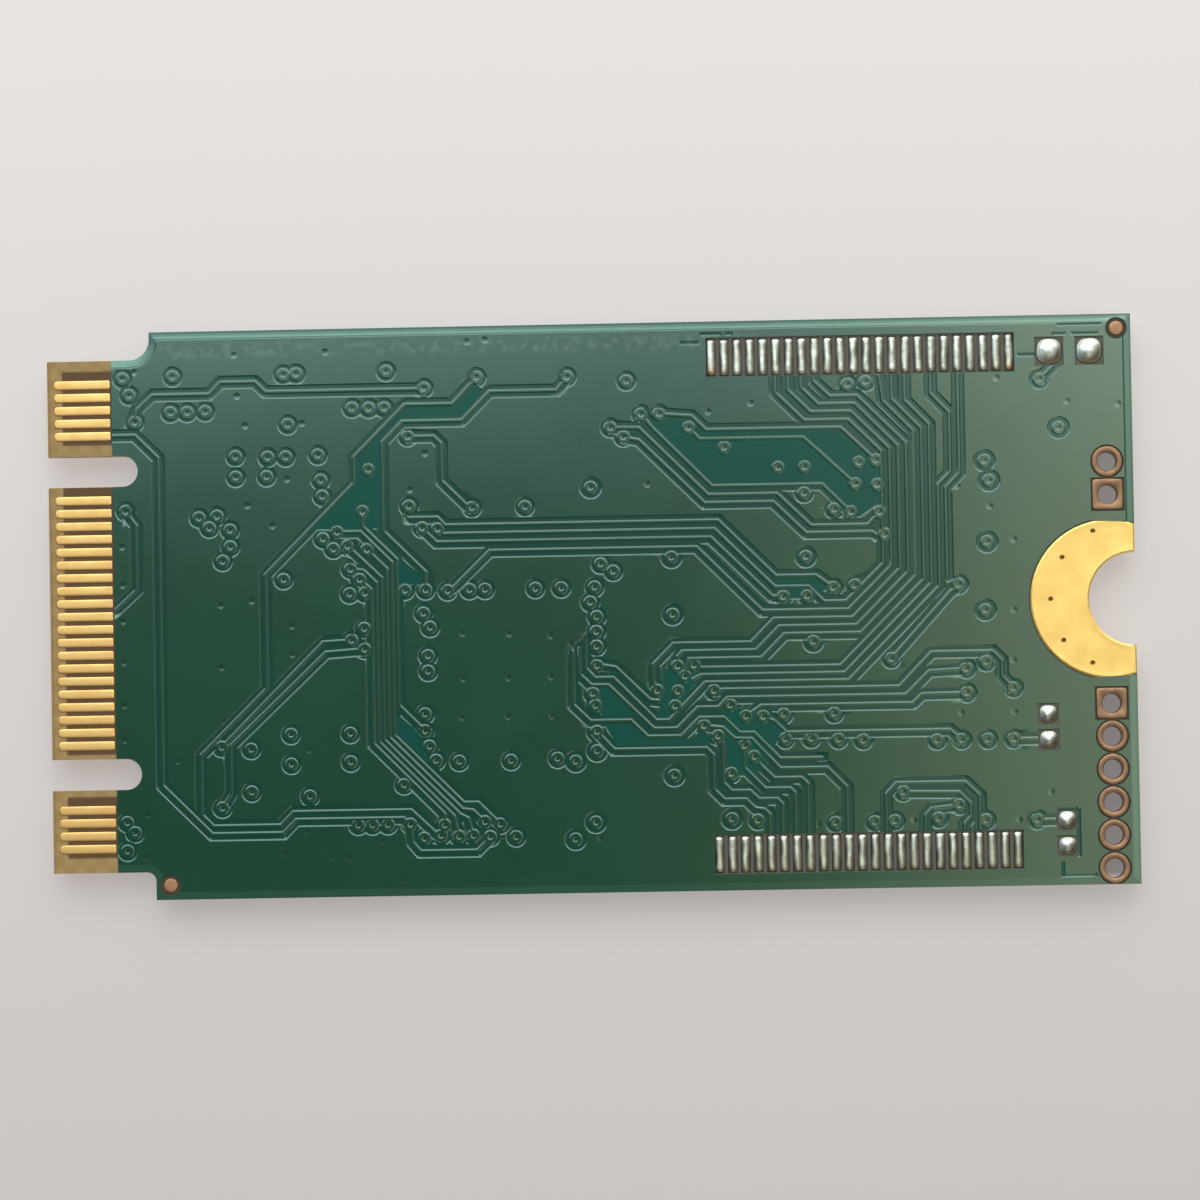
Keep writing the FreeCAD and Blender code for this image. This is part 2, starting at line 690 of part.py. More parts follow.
# Chip side: everything here hangs below the film, whose outer face lies at chip_drop

def first_pin(body, x, y, face):
    # a shallow round dimple in a package's outer face, at the corner of its first lead
    dimple = new_sketch(body, body.Label + "_first_pin", face)
    add_small_round(dimple, x, y, "Card.first_pin_radius")
    pocket = body.newObject("PartDesign::Pocket", dimple.Name + "_cut")
    pocket.Profile = dimple
    pocket.setExpression("Length", "Card.first_pin_depth")
    pocket.Reversed = True


def flash_chip_body():
    body = new_body("flash_chip_body")
    half_width = "Card.flash_body_width / 2"
    half_length = "Card.lead_root"
    parting = "Card.flash_thickness / 2"
    for name, reverse in (("flash_outer", True), ("flash_inner", False)):
        sketch = new_sketch(body, name, parting)
        add_rectangle(sketch, "Card.flash_x - " + half_width, "Card.flash_x + " + half_width,
                      "-" + half_length, half_length)
        half = pad(body, sketch, parting, taper="-Card.flash_draft")
        half.Reversed = reverse
    first_pin(body, "Card.flash_near + Card.first_pin_inset", "Card.lead_root - Card.first_pin_inset", "0")
    return body


def gull_wing(side):
    # a lead from the side of the flash body to a foot on the film, as a profile of one thickness
    half = "Card.lead_thickness / 2"
    parting = "Card.flash_thickness / 2"
    seat = "Card.chip_drop"
    heel = "Card.lead_tip - Card.lead_foot"
    knee = "Card.lead_root + Card.lead_knee"
    profile = [("Card.lead_root", parting + " - " + half), (knee, parting + " - " + half),
               (heel, seat + " - Card.lead_thickness"), ("Card.lead_tip", seat + " - Card.lead_thickness"),
               ("Card.lead_tip", seat), (heel + " - Card.lead_thickness", seat),
               (knee + " - Card.lead_thickness", parting + " + " + half),
               ("Card.lead_root", parting + " + " + half)]
    return [("%d * (%s)" % (side, reach), level) for reach, level in profile]


def flash_chip_leads():
    body = new_body("flash_chip_leads")
    for side in (1, -1):
        sketch = new_sketch(body, "lead_profile", "Card.flash_first", "YZ_Plane")
        add_polygon(sketch, gull_wing(side))
        lead = pad(body, sketch, "Card.lead_width", midplane=True)
        repeat(body, lead, "X_Axis", "Card.flash_pitch", flash_lead_count)
    return body


def controller_body():
    body = new_body("controller_body")
    sketch = new_sketch(body, "controller_outline", "Card.chip_drop - Card.controller_standoff")
    half = "Card.controller_side / 2"
    add_rectangle(sketch, "Card.controller_x - " + half, "Card.controller_x + " + half,
                  "Card.controller_offset - " + half, "Card.controller_offset + " + half)
    block = pad(body, sketch, "Card.controller_thickness")
    block.Reversed = True
    doc.recompute()
    face = "Card.chip_drop - Card.controller_standoff - Card.controller_thickness"
    bevel = body.newObject("PartDesign::Chamfer", "controller_bevel")
    bevel.Base = (block, level_edges(block.Shape, size(face)))
    bevel.setExpression("Size", "Card.controller_edge")
    doc.recompute()
    first_pin(body, "Card.controller_x - %s + Card.first_pin_inset" % half,
              "Card.controller_offset + %s - Card.first_pin_inset" % half, face)
    return body


def controller_terminals():
    body = new_body("controller_terminals")
    low = "Card.chip_drop - Card.controller_standoff"
    half_row = "%g * Card.terminal_pitch" % ((terminal_count - 1) / 2)
    half = "Card.terminal_width / 2"
    outer = "Card.controller_side / 2 + Card.terminal_reach"
    inner = outer + " - Card.terminal_length"
    for side in (1, -1):
        near = "Card.controller_offset - " + half_row
        ends = ["Card.controller_x + %d * (%s)" % (side, reach) for reach in (inner, outer)]
        along_y = new_sketch(body, "terminals_across", low)
        add_rectangle(along_y, *ends, near + " - " + half, near + " + " + half)
        pin = pad(body, along_y, "Card.controller_standoff")
        repeat(body, pin, "Y_Axis", "Card.terminal_pitch", terminal_count)
        near = "Card.controller_x - " + half_row
        ends = ["Card.controller_offset + %d * (%s)" % (side, reach) for reach in (inner, outer)]
        along_x = new_sketch(body, "terminals_along", low)
        add_rectangle(along_x, near + " - " + half, near + " + " + half, *ends)
        pin = pad(body, along_x, "Card.controller_standoff")
        repeat(body, pin, "X_Axis", "Card.terminal_pitch", terminal_count)
    return body


def crystal():
    y = "Card.controller_offset + Card.controller_side / 2 + Card.crystal_gap + Card.crystal_width / 2"
    base = box("crystal_base", "Card.crystal_length", "Card.crystal_width", "Card.crystal_base_height",
               "Card.controller_x", y, "Card.chip_drop - Card.crystal_base_height")
    lid = box("crystal_lid", "Card.crystal_length - 2 * Card.crystal_lid_margin",
              "Card.crystal_width - 2 * Card.crystal_lid_margin", "Card.crystal_lid_height",
              "Card.controller_x", y, "Card.chip_drop - Card.crystal_base_height - Card.crystal_lid_height")
    return [base, lid]


def inductor():
    core = box("inductor_core", "Card.inductor_side - 2 * Card.inductor_terminal", "Card.inductor_side",
               "Card.chip_drop", "Card.power_x", "Card.inductor_offset", "0")
    terminals = []
    for side in (1, -1):
        x = "Card.power_x + %d * (Card.inductor_side - Card.inductor_terminal) / 2" % side
        terminals.append(box("inductor_end", "Card.inductor_terminal", "Card.inductor_side",
                             "Card.chip_drop", x, "Card.inductor_offset", "0"))
    return [core, group("inductor_terminals", terminals)]


def regulators():
    bodies = []
    leads = new_body("regulator_leads")
    reach = "Card.regulator_width / 2 + Card.regulator_lead_reach"
    top = "Card.chip_drop - Card.lead_thickness"
    for index in (0, 1):
        first_y = "(Card.inductor_offset + Card.inductor_side / 2 + Card.regulator_step / 2)"
        y = "%s + %d * Card.regulator_step" % (first_y, index)
        bodies.append(box("regulator_body", "Card.regulator_length", "Card.regulator_width",
                          "Card.regulator_height", "Card.power_x", y, top + " - Card.regulator_height"))
        for side, columns in ((1, (-1, 1)), (-1, (-1, 0, 1))):
            for column in columns:
                x = "Card.power_x + %d * Card.regulator_pitch" % column
                sketch = new_sketch(leads, "regulator_lead", top)
                near = "%s + %d * (Card.regulator_width / 2 - Card.regulator_lead_inset)" % (y, side)
                far = "%s + %d * (%s)" % (y, side, reach)
                low, high = (near, far) if side > 0 else (far, near)
                half = "Card.regulator_lead_width / 2"
                add_rectangle(sketch, x + " - " + half, x + " + " + half, low, high)
                pad(leads, sketch, "Card.lead_thickness")
    return [group("regulator_bodies", bodies), leads]


def chip_parts(name, count):
    # a column of two-ended chip parts beside the controller
    bodies = []
    ends = []
    x = "Card.%s_x" % name
    height = "Card.%s_height" % name
    low = "Card.chip_drop - " + height
    inner = "Card.chip_part_length - 2 * Card.chip_part_end"
    for index in range(count):
        y = "Card.controller_offset + %g * Card.chip_part_pitch" % (index - (count - 1) / 2)
        bodies.append(box(name + "_body", inner, "Card.chip_part_width", height, x, y, low))
        for end in (1, -1):
            end_x = "%s + %d * (Card.chip_part_length - Card.chip_part_end) / 2" % (x, end)
            ends.append(box(name + "_end", "Card.chip_part_end", "Card.chip_part_width", height,
                            end_x, y, low))
    return [group(name + "_bodies", bodies), group(name + "_ends", ends)]


# Build, test and write

def main():
    fill_sheet()
    nodes = [
        circuit_board(),
        film("plain_side_mask", "Card.laminate_high", plain_windows(), mark_places()),
        film("chip_side_mask", "Card.chip_drop", header_windows(), []),
        plain_side_traces(),
        contacts("plain_side_contacts", "Card.laminate_high", even_contact_counts),
        contacts("chip_side_contacts", "Card.laminate_low - Card.contact_thickness",
                 odd_contact_counts),
        screw_land(),
        header_eyelets(),
        corner_marks(),
        spare_flash_pads("spare_flash_pads_upper", 1),
        spare_flash_pads("spare_flash_pads_lower", -1),
        spare_part_pads(),
        flash_chip_body(),
        flash_chip_leads(),
        controller_body(),
        controller_terminals(),
    ]
    nodes += crystal() + inductor() + regulators()
    nodes += chip_parts("capacitor", 5) + chip_parts("resistor", 4)
    doc.recompute()
    for item in doc.Objects:
        if "Invalid" in item.State or "Error" in item.State:
            raise RuntimeError("%s did not build: %s" % (item.Name, item.State))
    for node in nodes:
        if node.Shape.isNull() or not node.Shape.isValid():
            raise RuntimeError("%s has no valid shape" % node.Label)
    os.makedirs("parts", exist_ok=True)
    for node in nodes:
        node.Shape.exportStep("parts/%s.step" % node.Label)
        print("%-24s %4d solids %10.4f mm3" % (node.Label, len(node.Shape.Solids), node.Shape.Volume))


main()
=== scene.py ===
import math
import random
import bmesh
import bpy
import numpy as np
from mathutils import Euler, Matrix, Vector
from mathutils.geometry import delaunay_2d_cdt


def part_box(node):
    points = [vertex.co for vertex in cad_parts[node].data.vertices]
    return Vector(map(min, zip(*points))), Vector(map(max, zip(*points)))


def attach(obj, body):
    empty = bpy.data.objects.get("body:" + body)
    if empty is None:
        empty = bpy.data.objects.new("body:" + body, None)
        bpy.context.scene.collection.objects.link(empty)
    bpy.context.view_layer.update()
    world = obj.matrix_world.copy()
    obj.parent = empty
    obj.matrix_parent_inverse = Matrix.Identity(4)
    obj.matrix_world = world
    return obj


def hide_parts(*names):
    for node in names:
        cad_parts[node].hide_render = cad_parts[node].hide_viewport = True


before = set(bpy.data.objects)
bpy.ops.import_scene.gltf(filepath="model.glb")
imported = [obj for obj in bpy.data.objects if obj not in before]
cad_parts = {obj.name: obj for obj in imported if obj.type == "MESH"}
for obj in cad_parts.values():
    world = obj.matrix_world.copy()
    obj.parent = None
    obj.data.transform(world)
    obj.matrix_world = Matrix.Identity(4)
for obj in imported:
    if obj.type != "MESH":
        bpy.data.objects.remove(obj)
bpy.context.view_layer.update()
mm = 0.001
print("frame loaded:", len(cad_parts), "nodes")


# reading the frame, in millimetres

reading = dict(weldDigits=4, sortDigits=2, levelWithin=0.002, joinWithin=1e-5)
tiny = 1e-9     # keeps divisions safe


def corners(node):
    low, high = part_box(node)
    return np.array(low) / mm, np.array(high) / mm


def weldedMesh(node):
    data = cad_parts[node].data
    places = np.array([vertex.co for vertex in data.vertices]) / mm
    welded, index = np.unique(np.round(places, reading["weldDigits"]), axis=0, return_inverse=True)
    triangles = []
    for face in data.polygons:
        ring = [int(index[vertex]) for vertex in face.vertices]
        triangles.extend((ring[0], ring[k], ring[k + 1]) for k in range(1, len(ring) - 1))
    return welded, triangles


def solidsOf(node):
    # the low and high corner of each separate solid, in order along x and then y
    places, triangles = weldedMesh(node)
    owner = list(range(len(places)))

    def top(item):
        while owner[item] != item:
            owner[item] = owner[owner[item]]
            item = owner[item]
        return item

    for a, b, c in triangles:
        owner[top(b)] = top(a)
        owner[top(c)] = top(a)
    groups = {}
    for item in range(len(places)):
        groups.setdefault(top(item), []).append(item)
    found = [(places[items].min(axis=0), places[items].max(axis=0)) for items in groups.values()]
    return sorted(found, key=lambda pair: tuple(np.round(pair[0][:2], reading["sortDigits"])))


def boundaryLoops(triangles):
    used = {(ring[k], ring[(k + 1) % 3]) for ring in triangles for k in range(3)}
    following = {}
    for a, b in used:
        if (b, a) not in used:
            following.setdefault(a, []).append(b)
    loops = []
    while following:
        start = next(iter(following))
        loop = [start]
        while True:
            steps = following[loop[-1]]
            step = steps.pop()
            if not steps:
                del following[loop[-1]]
            if step == start:
                break
            loop.append(step)
        loops.append(loop)
    return loops


def faceLoops(node, level):
    # outlines of a node's level faces at one height; outer ones run anticlockwise, holes clockwise
    places, triangles = weldedMesh(node)
    within = np.abs(places[:, 2] - level) < reading["levelWithin"]
    turned = []
    for a, b, c in (ring for ring in triangles if within[list(ring)].all()):
        first, second = places[b] - places[a], places[c] - places[a]
        area = first[0] * second[1] - first[1] * second[0]
        turned.append((a, b, c) if area > 0 else (a, c, b))
    return [places[loop][:, :2] for loop in boundaryLoops(turned)]


def loopArea(loop):
    x, y = loop[:, 0], loop[:, 1]
    return 0.5 * float(np.sum(x * np.roll(y, -1) - np.roll(x, -1) * y))


def turnsOf(count):
    return 2 * math.pi * np.arange(count) / count


def circle(x, y, radius, count):
    turns = turnsOf(count)
    return np.stack([x + radius * np.cos(turns), y + radius * np.sin(turns)], axis=1)


def bulge(turn, power):
    # how far a rounded square reaches in one direction; it is a circle at the power of two
    return (np.abs(np.cos(turn)) ** power + np.abs(np.sin(turn)) ** power) ** (-1 / power)


def rectangle(low, high):
    return np.array([(low[0], low[1]), (high[0], low[1]), (high[0], high[1]), (low[0], high[1])])


def offsetLoop(loop, distance, leastLean=0.4):
    after = np.roll(loop, -1, axis=0) - loop
    after /= np.linalg.norm(after, axis=1, keepdims=True)
    sideAfter = np.stack([after[:, 1], -after[:, 0]], axis=1)
    sideBefore = np.roll(sideAfter, 1, axis=0)
    middle = sideBefore + sideAfter
    middle /= np.maximum(np.linalg.norm(middle, axis=1, keepdims=True), tiny)
    lean = np.maximum(np.sum(middle * sideAfter, axis=1, keepdims=True), leastLean)
    return loop + middle * distance / lean


def shouldered(loop, near, longest, leastRun=4):
    # points shortly after and before each corner and at even steps, so that long runs keep their own slope
    points = []
    for start, end in zip(loop, np.roll(loop, -1, axis=0)):
        points.append(start)
        length = np.linalg.norm(end - start)
        if length > leastRun * near:
            count = max(2, math.ceil(length / longest) + 1)
            for share in np.linspace(near / length, 1 - near / length, count):
                points.append(start + (end - start) * share)
    return np.array(points)


# distances to outlines and dots, each with its direction; many points are taken in batches

batch = dict(loops=3000, dots=8000)


def batches(points, size):
    return [(slice(first, first + size), points[first:first + size]) for first in range(0, len(points), size)]


def awayFromLoops(points, loops):
    # signed distance to the loops, positive outside, and the direction in which it grows
    starts = np.concatenate(loops)
    ends = np.concatenate([np.roll(loop, -1, axis=0) for loop in loops])
    steps = ends - starts
    lengths = np.maximum(np.sum(steps * steps, axis=1), tiny)
    distance = np.empty(len(points))
    direction = np.empty((len(points), 2))
    for span, part in batches(points, batch["loops"]):
        reach = part[:, None, :] - starts[None]
        share = np.clip(np.sum(reach * steps[None], axis=2) / lengths[None], 0, 1)
        gap = reach - share[:, :, None] * steps[None]
        square = np.sum(gap * gap, axis=2)
        nearest = np.argmin(square, axis=1)
        rows = np.arange(len(part))
        near = np.sqrt(square[rows, nearest])
        upward = (starts[None, :, 1] <= part[:, None, 1]) & (ends[None, :, 1] > part[:, None, 1])
        downward = (starts[None, :, 1] > part[:, None, 1]) & (ends[None, :, 1] <= part[:, None, 1])
        side = steps[None, :, 0] * reach[:, :, 1] - steps[None, :, 1] * reach[:, :, 0]
        winding = np.sum(upward & (side > 0), axis=1) - np.sum(downward & (side < 0), axis=1)
        sign = np.where(winding != 0, -1.0, 1.0)
        distance[span] = sign * near
        direction[span] = sign[:, None] * gap[rows, nearest] / np.maximum(near, tiny)[:, None]
    return distance, direction


def awayFromDots(points, dots):
    # distance outside the nearest of the dots (x, y, radius)
    middles, radii = dots[:, :2], dots[:, 2]
    distance = np.empty(len(points))
    direction = np.empty((len(points), 2))
    for span, part in batches(points, batch["dots"]):
        gap = part[:, None, :] - middles[None]
        length = np.sqrt(np.sum(gap * gap, axis=2))
        nearest = np.argmin(length - radii[None], axis=1)
        rows = np.arange(len(part))
        near = length[rows, nearest]
        distance[span] = near - radii[nearest]
        direction[span] = gap[rows, nearest] / np.maximum(near, tiny)[:, None]
    return distance, direction


def smallest(*pairs):
    values = np.stack([pair[0] for pair in pairs])
    pick = np.argmin(values, axis=0)
    rows = np.arange(values.shape[1])
    return values[pick, rows], np.stack([pair[1] for pair in pairs])[pick, rows]


def inverse(pair, shift=0.0):
    return shift - pair[0], -pair[1]


def shifted(pair, shift):
    return pair[0] - shift, pair[1]


def largest(*pairs):
    return inverse(smallest(*[inverse(pair) for pair in pairs]))


def ramp(distance, half):
    # a soft step from 0 to 1 over twice the half width, and its slope
    share = np.clip((distance + half) / (2 * half), 0, 1)
    return share * share * (3 - 2 * share), 6 * share * (1 - share) / (2 * half)


# mesh making

def asObject(name, data, material):
    data.materials.append(material)
    piece = bpy.data.objects.new(name, data)
    bpy.context.scene.collection.objects.link(piece)
    return piece


def addMesh(name, vertices, faces, material, smooth=True):
    data = bpy.data.meshes.new(name)
    data.from_pydata([tuple(float(value) * mm for value in vertex) for vertex in vertices], [],
                     [tuple(int(k) for k in face) for face in faces])
    data.update()
    if smooth:
        data.polygons.foreach_set("use_smooth", [True] * len(data.polygons))
    return asObject(name, data, material)


def paintShares(data, shades):
    # three colour shares at each point, for what lies under the surface and for painted light and shade
    colours = np.ones((len(shades), 4))
    colours[:, :3] = shades
    layer = data.color_attributes.new("under", "FLOAT_COLOR", "POINT")
    layer.data.foreach_set("color", colours.ravel())


def joinShapes(shapes):
    vertices, faces = [], []
    for shapeVertices, shapeFaces in shapes:
        faces.extend([tuple(k + len(vertices) for k in face) for face in shapeFaces])
        vertices.extend(shapeVertices)
    return vertices, faces


def stackedRings(rings, closeLow=True, closeHigh=True):
    # skins a stack of rings with the same count of points; an end that closes gets a fan
    count = len(rings[0])
    vertices = [tuple(point) for ring in rings for point in ring]
    edges = [[(level * count + k, level * count + (k + 1) % count) for k in range(count)]
             for level in range(len(rings))]
    faces = [(a, b, b + count, a + count) for ring in edges[:-1] for a, b in ring]
    for close, level in ((closeLow, 0), (closeHigh, -1)):
        if close:
            middle = len(vertices)
            vertices.append(tuple(np.mean(np.array(rings[level]), axis=0)))
            faces.extend((b, a, middle) if level == 0 else (a, b, middle) for a, b in edges[level])
    return vertices, faces


def asPiece(piece, slot, *nodes):
    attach(piece, "root")
    if nodes:
        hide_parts(*nodes)
    return piece


# placing and linking nodes in one tree

class Wiring:
    def __init__(self, tree):
        self.tree = tree

    def link(self, source, target):
        self.tree.links.new(source, target)

    def give(self, socket, value):
        if isinstance(value, (int, float, tuple)):
            socket.default_value = value
        else:
            self.link(value, socket)

    def node(self, kind, **settings):
        node = self.tree.nodes.new("ShaderNode" + kind)
        for setting, value in settings.items():
            setattr(node, setting, value)
        return node

    def group(self, tree, **values):
        node = self.node("Group", node_tree=tree)
        for socket, value in values.items():
            node.inputs[socket].default_value = value
        return node.outputs

    def math(self, operation, first, second=0.0):
        node = self.node("Math", operation=operation)
        self.give(node.inputs[0], first)
        self.give(node.inputs[1], second)
        return node.outputs[0]

    def product(self, first, *others):
        for other in others:
            first = self.math("MULTIPLY", first, other)
        return first

    def vector(self, operation, first, second):
        node = self.node("VectorMath", operation=operation)
        self.give(node.inputs[0], first)
        self.give(node.inputs["Scale" if operation == "SCALE" else 1], second)
        return node.outputs["Vector"]

    def axes(self, source):
        node = self.node("SeparateXYZ")
        self.link(source, node.inputs[0])
        return node.outputs["X"], node.outputs["Y"], node.outputs["Z"]

    def millimetres(self):
        # object coordinates counted in millimetres
        return self.vector("SCALE", self.node("TexCoord").outputs["Object"], 1 / mm)

    def swing(self, source, low, high, start=0.0, end=1.0, soft=False):
        # from low to high while the source goes from start to end
        node = self.node("MapRange", interpolation_type="SMOOTHSTEP" if soft else "LINEAR")
        self.link(source, node.inputs["Value"])
        for socket, value in (("From Min", start), ("From Max", end), ("To Min", low), ("To Max", high)):
            self.give(node.inputs[socket], value)
        return node.outputs["Result"]


# shader groups that several finishes share

def newGroup(name, inputs, outputs):
    tree = bpy.data.node_groups.new(name, "ShaderNodeTree")
    for label, value in inputs.items():
        socket = tree.interface.new_socket(label, in_out="INPUT", socket_type="NodeSocketFloat")
        socket.default_value = value
    for label in outputs:
        tree.interface.new_socket(label, in_out="OUTPUT", socket_type="NodeSocketFloat")
    return Wiring(tree), tree.nodes.new("NodeGroupInput").outputs, tree.nodes.new("NodeGroupOutput").inputs


def patchesGroup():
    # soft cloudy patches, as a mask and as the grain behind it
    inputs = dict(Size=1.0, Sharpness=0.2, Share=0.5)
    wiring, given, result = newGroup("cloudyPatches", inputs, ("Mask", "Grain"))
    noise = wiring.node("TexNoise")
    for socket, value in dict(Detail=4.0, Roughness=0.55).items():
        noise.inputs[socket].default_value = value
    wiring.link(wiring.millimetres(), noise.inputs["Vector"])
    wiring.link(wiring.math("DIVIDE", 1.0, given["Size"]), noise.inputs["Scale"])
    low, high = (wiring.math(way, given["Share"], given["Sharpness"]) for way in ("SUBTRACT", "ADD"))
    wiring.link(wiring.swing(noise.outputs["Fac"], 0.0, 1.0, low, high, True), result["Mask"])
    wiring.link(noise.outputs["Fac"], result["Grain"])
    return wiring.tree


def weaveGroup():
    # crossed glass bundles, raised where a bundle passes over
    wiring, given, result = newGroup("glassWeave", dict(Pitch=0.5), ("Height",))
    waves = []
    for place in wiring.axes(wiring.millimetres())[:2]:
        turn = wiring.math("DIVIDE", place, given["Pitch"])
        waves.append(wiring.math("SINE", wiring.math("MULTIPLY", turn, math.pi)))
    wiring.link(wiring.math("ADD", wiring.product(*waves), 0.5), result["Height"])
    return wiring.tree


patches = patchesGroup()
weave = weaveGroup()


class Finish(Wiring):
    # one material and its shader
    usualBump = 0.5

    def __init__(self, name, **plain):
        self.material = bpy.data.materials.new(name)
        self.material.use_nodes = True
        Wiring.__init__(self, self.material.node_tree)
        self.sockets = self.tree.nodes["Principled BSDF"].inputs
        for socket, value in plain.items():
            self.sockets[socket.replace("_", " ")].default_value = value

    def patch(self, size, share=0.5, sharpness=0.2):
        return self.group(patches, Size=size, Share=share, Sharpness=sharpness)

    def blend(self, factor, first, second):
        node = self.node("Mix", data_type="RGBA")
        self.link(factor, node.inputs["Factor"])
        for socket, value in ((node.inputs[6], first), (node.inputs[7], second)):
            self.give(socket, (*value, 1.0) if isinstance(value, tuple) else value)
        return node.outputs[2]

    def zone(self, low, high, soft):
        # one inside a box on the card, in millimetres, fading to nothing over the soft width
        fades = []
        for source, start, end in zip(self.axes(self.millimetres()), low, high):
            fades.append(self.swing(source, 0.0, 1.0, start - soft, start + soft, True))
            fades.append(self.swing(source, 1.0, 0.0, end - soft, end + soft, True))
        return self.product(*fades)

    def attribute(self, name):
        node = self.node("Attribute", attribute_name=name)
        parts = self.node("SeparateColor")
        self.link(node.outputs["Color"], parts.inputs["Color"])
        return parts.outputs["Red"], parts.outputs["Green"], parts.outputs["Blue"]

    def surface(self, tone, cloud, look, height):
        # links the tone, a roughness that follows the clouds, and the bump, and gives the material
        self.link(tone, self.sockets["Base Color"])
        self.link(self.swing(cloud["Grain"], *look["rough"]), self.sockets["Roughness"])
        node = self.node("Bump")
        node.inputs["Strength"].default_value = look.get("bump", self.usualBump)
        node.inputs["Distance"].default_value = look["depth"] * mm
        self.link(height, node.inputs["Height"])
        self.link(node.outputs["Normal"], self.sockets["Normal"])
        return self.material


# the green film

# the margin colour is the paler film over copper-free laminate with a painted glow on top; the hole colour is
# painted shade for via holes, dimples and narrow grooves; the colour for patches along the far edge is a
# painted cloudy sheen
filmLook = dict(overCopper=(0.0099, 0.0692, 0.0345), overCopperPale=(0.0115, 0.0757, 0.0390),
                bare=(0.0114, 0.092, 0.073), margin=(0.255, 0.480, 0.370), hole=(0.004, 0.026, 0.014),
                paintedSheen=(0.075, 0.140, 0.110), sheenPatch=(0.38, 0.55, 0.10),
                sheenZone=((-16.6, 9.98), (7.0, 10.5), 0.22),
                cloudSize=2.6, speckSize=0.22, speckSharp=0.35, speckLow=0.82,
                rough=(0.09, 0.13), peelSize=0.9, depth=0.002,
                shader=dict(IOR=1.5, Specular_IOR_Level=0.44, Specular_Tint=(0.76, 1.0, 0.88, 1.0),
                            Coat_IOR=1.75, Coat_Roughness=0.11))


def filmFinish(name, withSheen):
    # copper under the film adds to its sheen, so bare laminate looks deeper
    finish = Finish(name, **filmLook["shader"])
    # the three channels: bare laminate, the pale margin with its painted glow, and painted shade in holes,
    # dimples and grooves
    bare, margin, hole = finish.attribute("under")
    finish.link(finish.math("SUBTRACT", 1.0, bare), finish.sockets["Coat Weight"])
    cloud = finish.patch(filmLook["cloudSize"])
    tone = finish.blend(cloud["Mask"], filmLook["overCopper"], filmLook["overCopperPale"])
    tone = finish.blend(bare, tone, filmLook["bare"])
    speck = finish.patch(filmLook["speckSize"], sharpness=filmLook["speckSharp"])
    # the pale margin, partly a painted glow
    pale = finish.math("MULTIPLY", margin, finish.swing(speck["Mask"], filmLook["speckLow"], 1.0))
    tone = finish.blend(pale, tone, filmLook["margin"])
    if withSheen:     # a painted cloudy sheen in patches along the far edge
        sheenShare = finish.math("MULTIPLY", finish.patch(*filmLook["sheenPatch"])["Mask"],
                           finish.zone(*filmLook["sheenZone"]))
        tone = finish.blend(sheenShare, tone, filmLook["paintedSheen"])
    # painted shade in via holes, dimples and narrow grooves
    tone = finish.blend(hole, tone, filmLook["hole"])
    return finish.surface(tone, cloud, filmLook, finish.patch(filmLook["peelSize"])["Grain"])


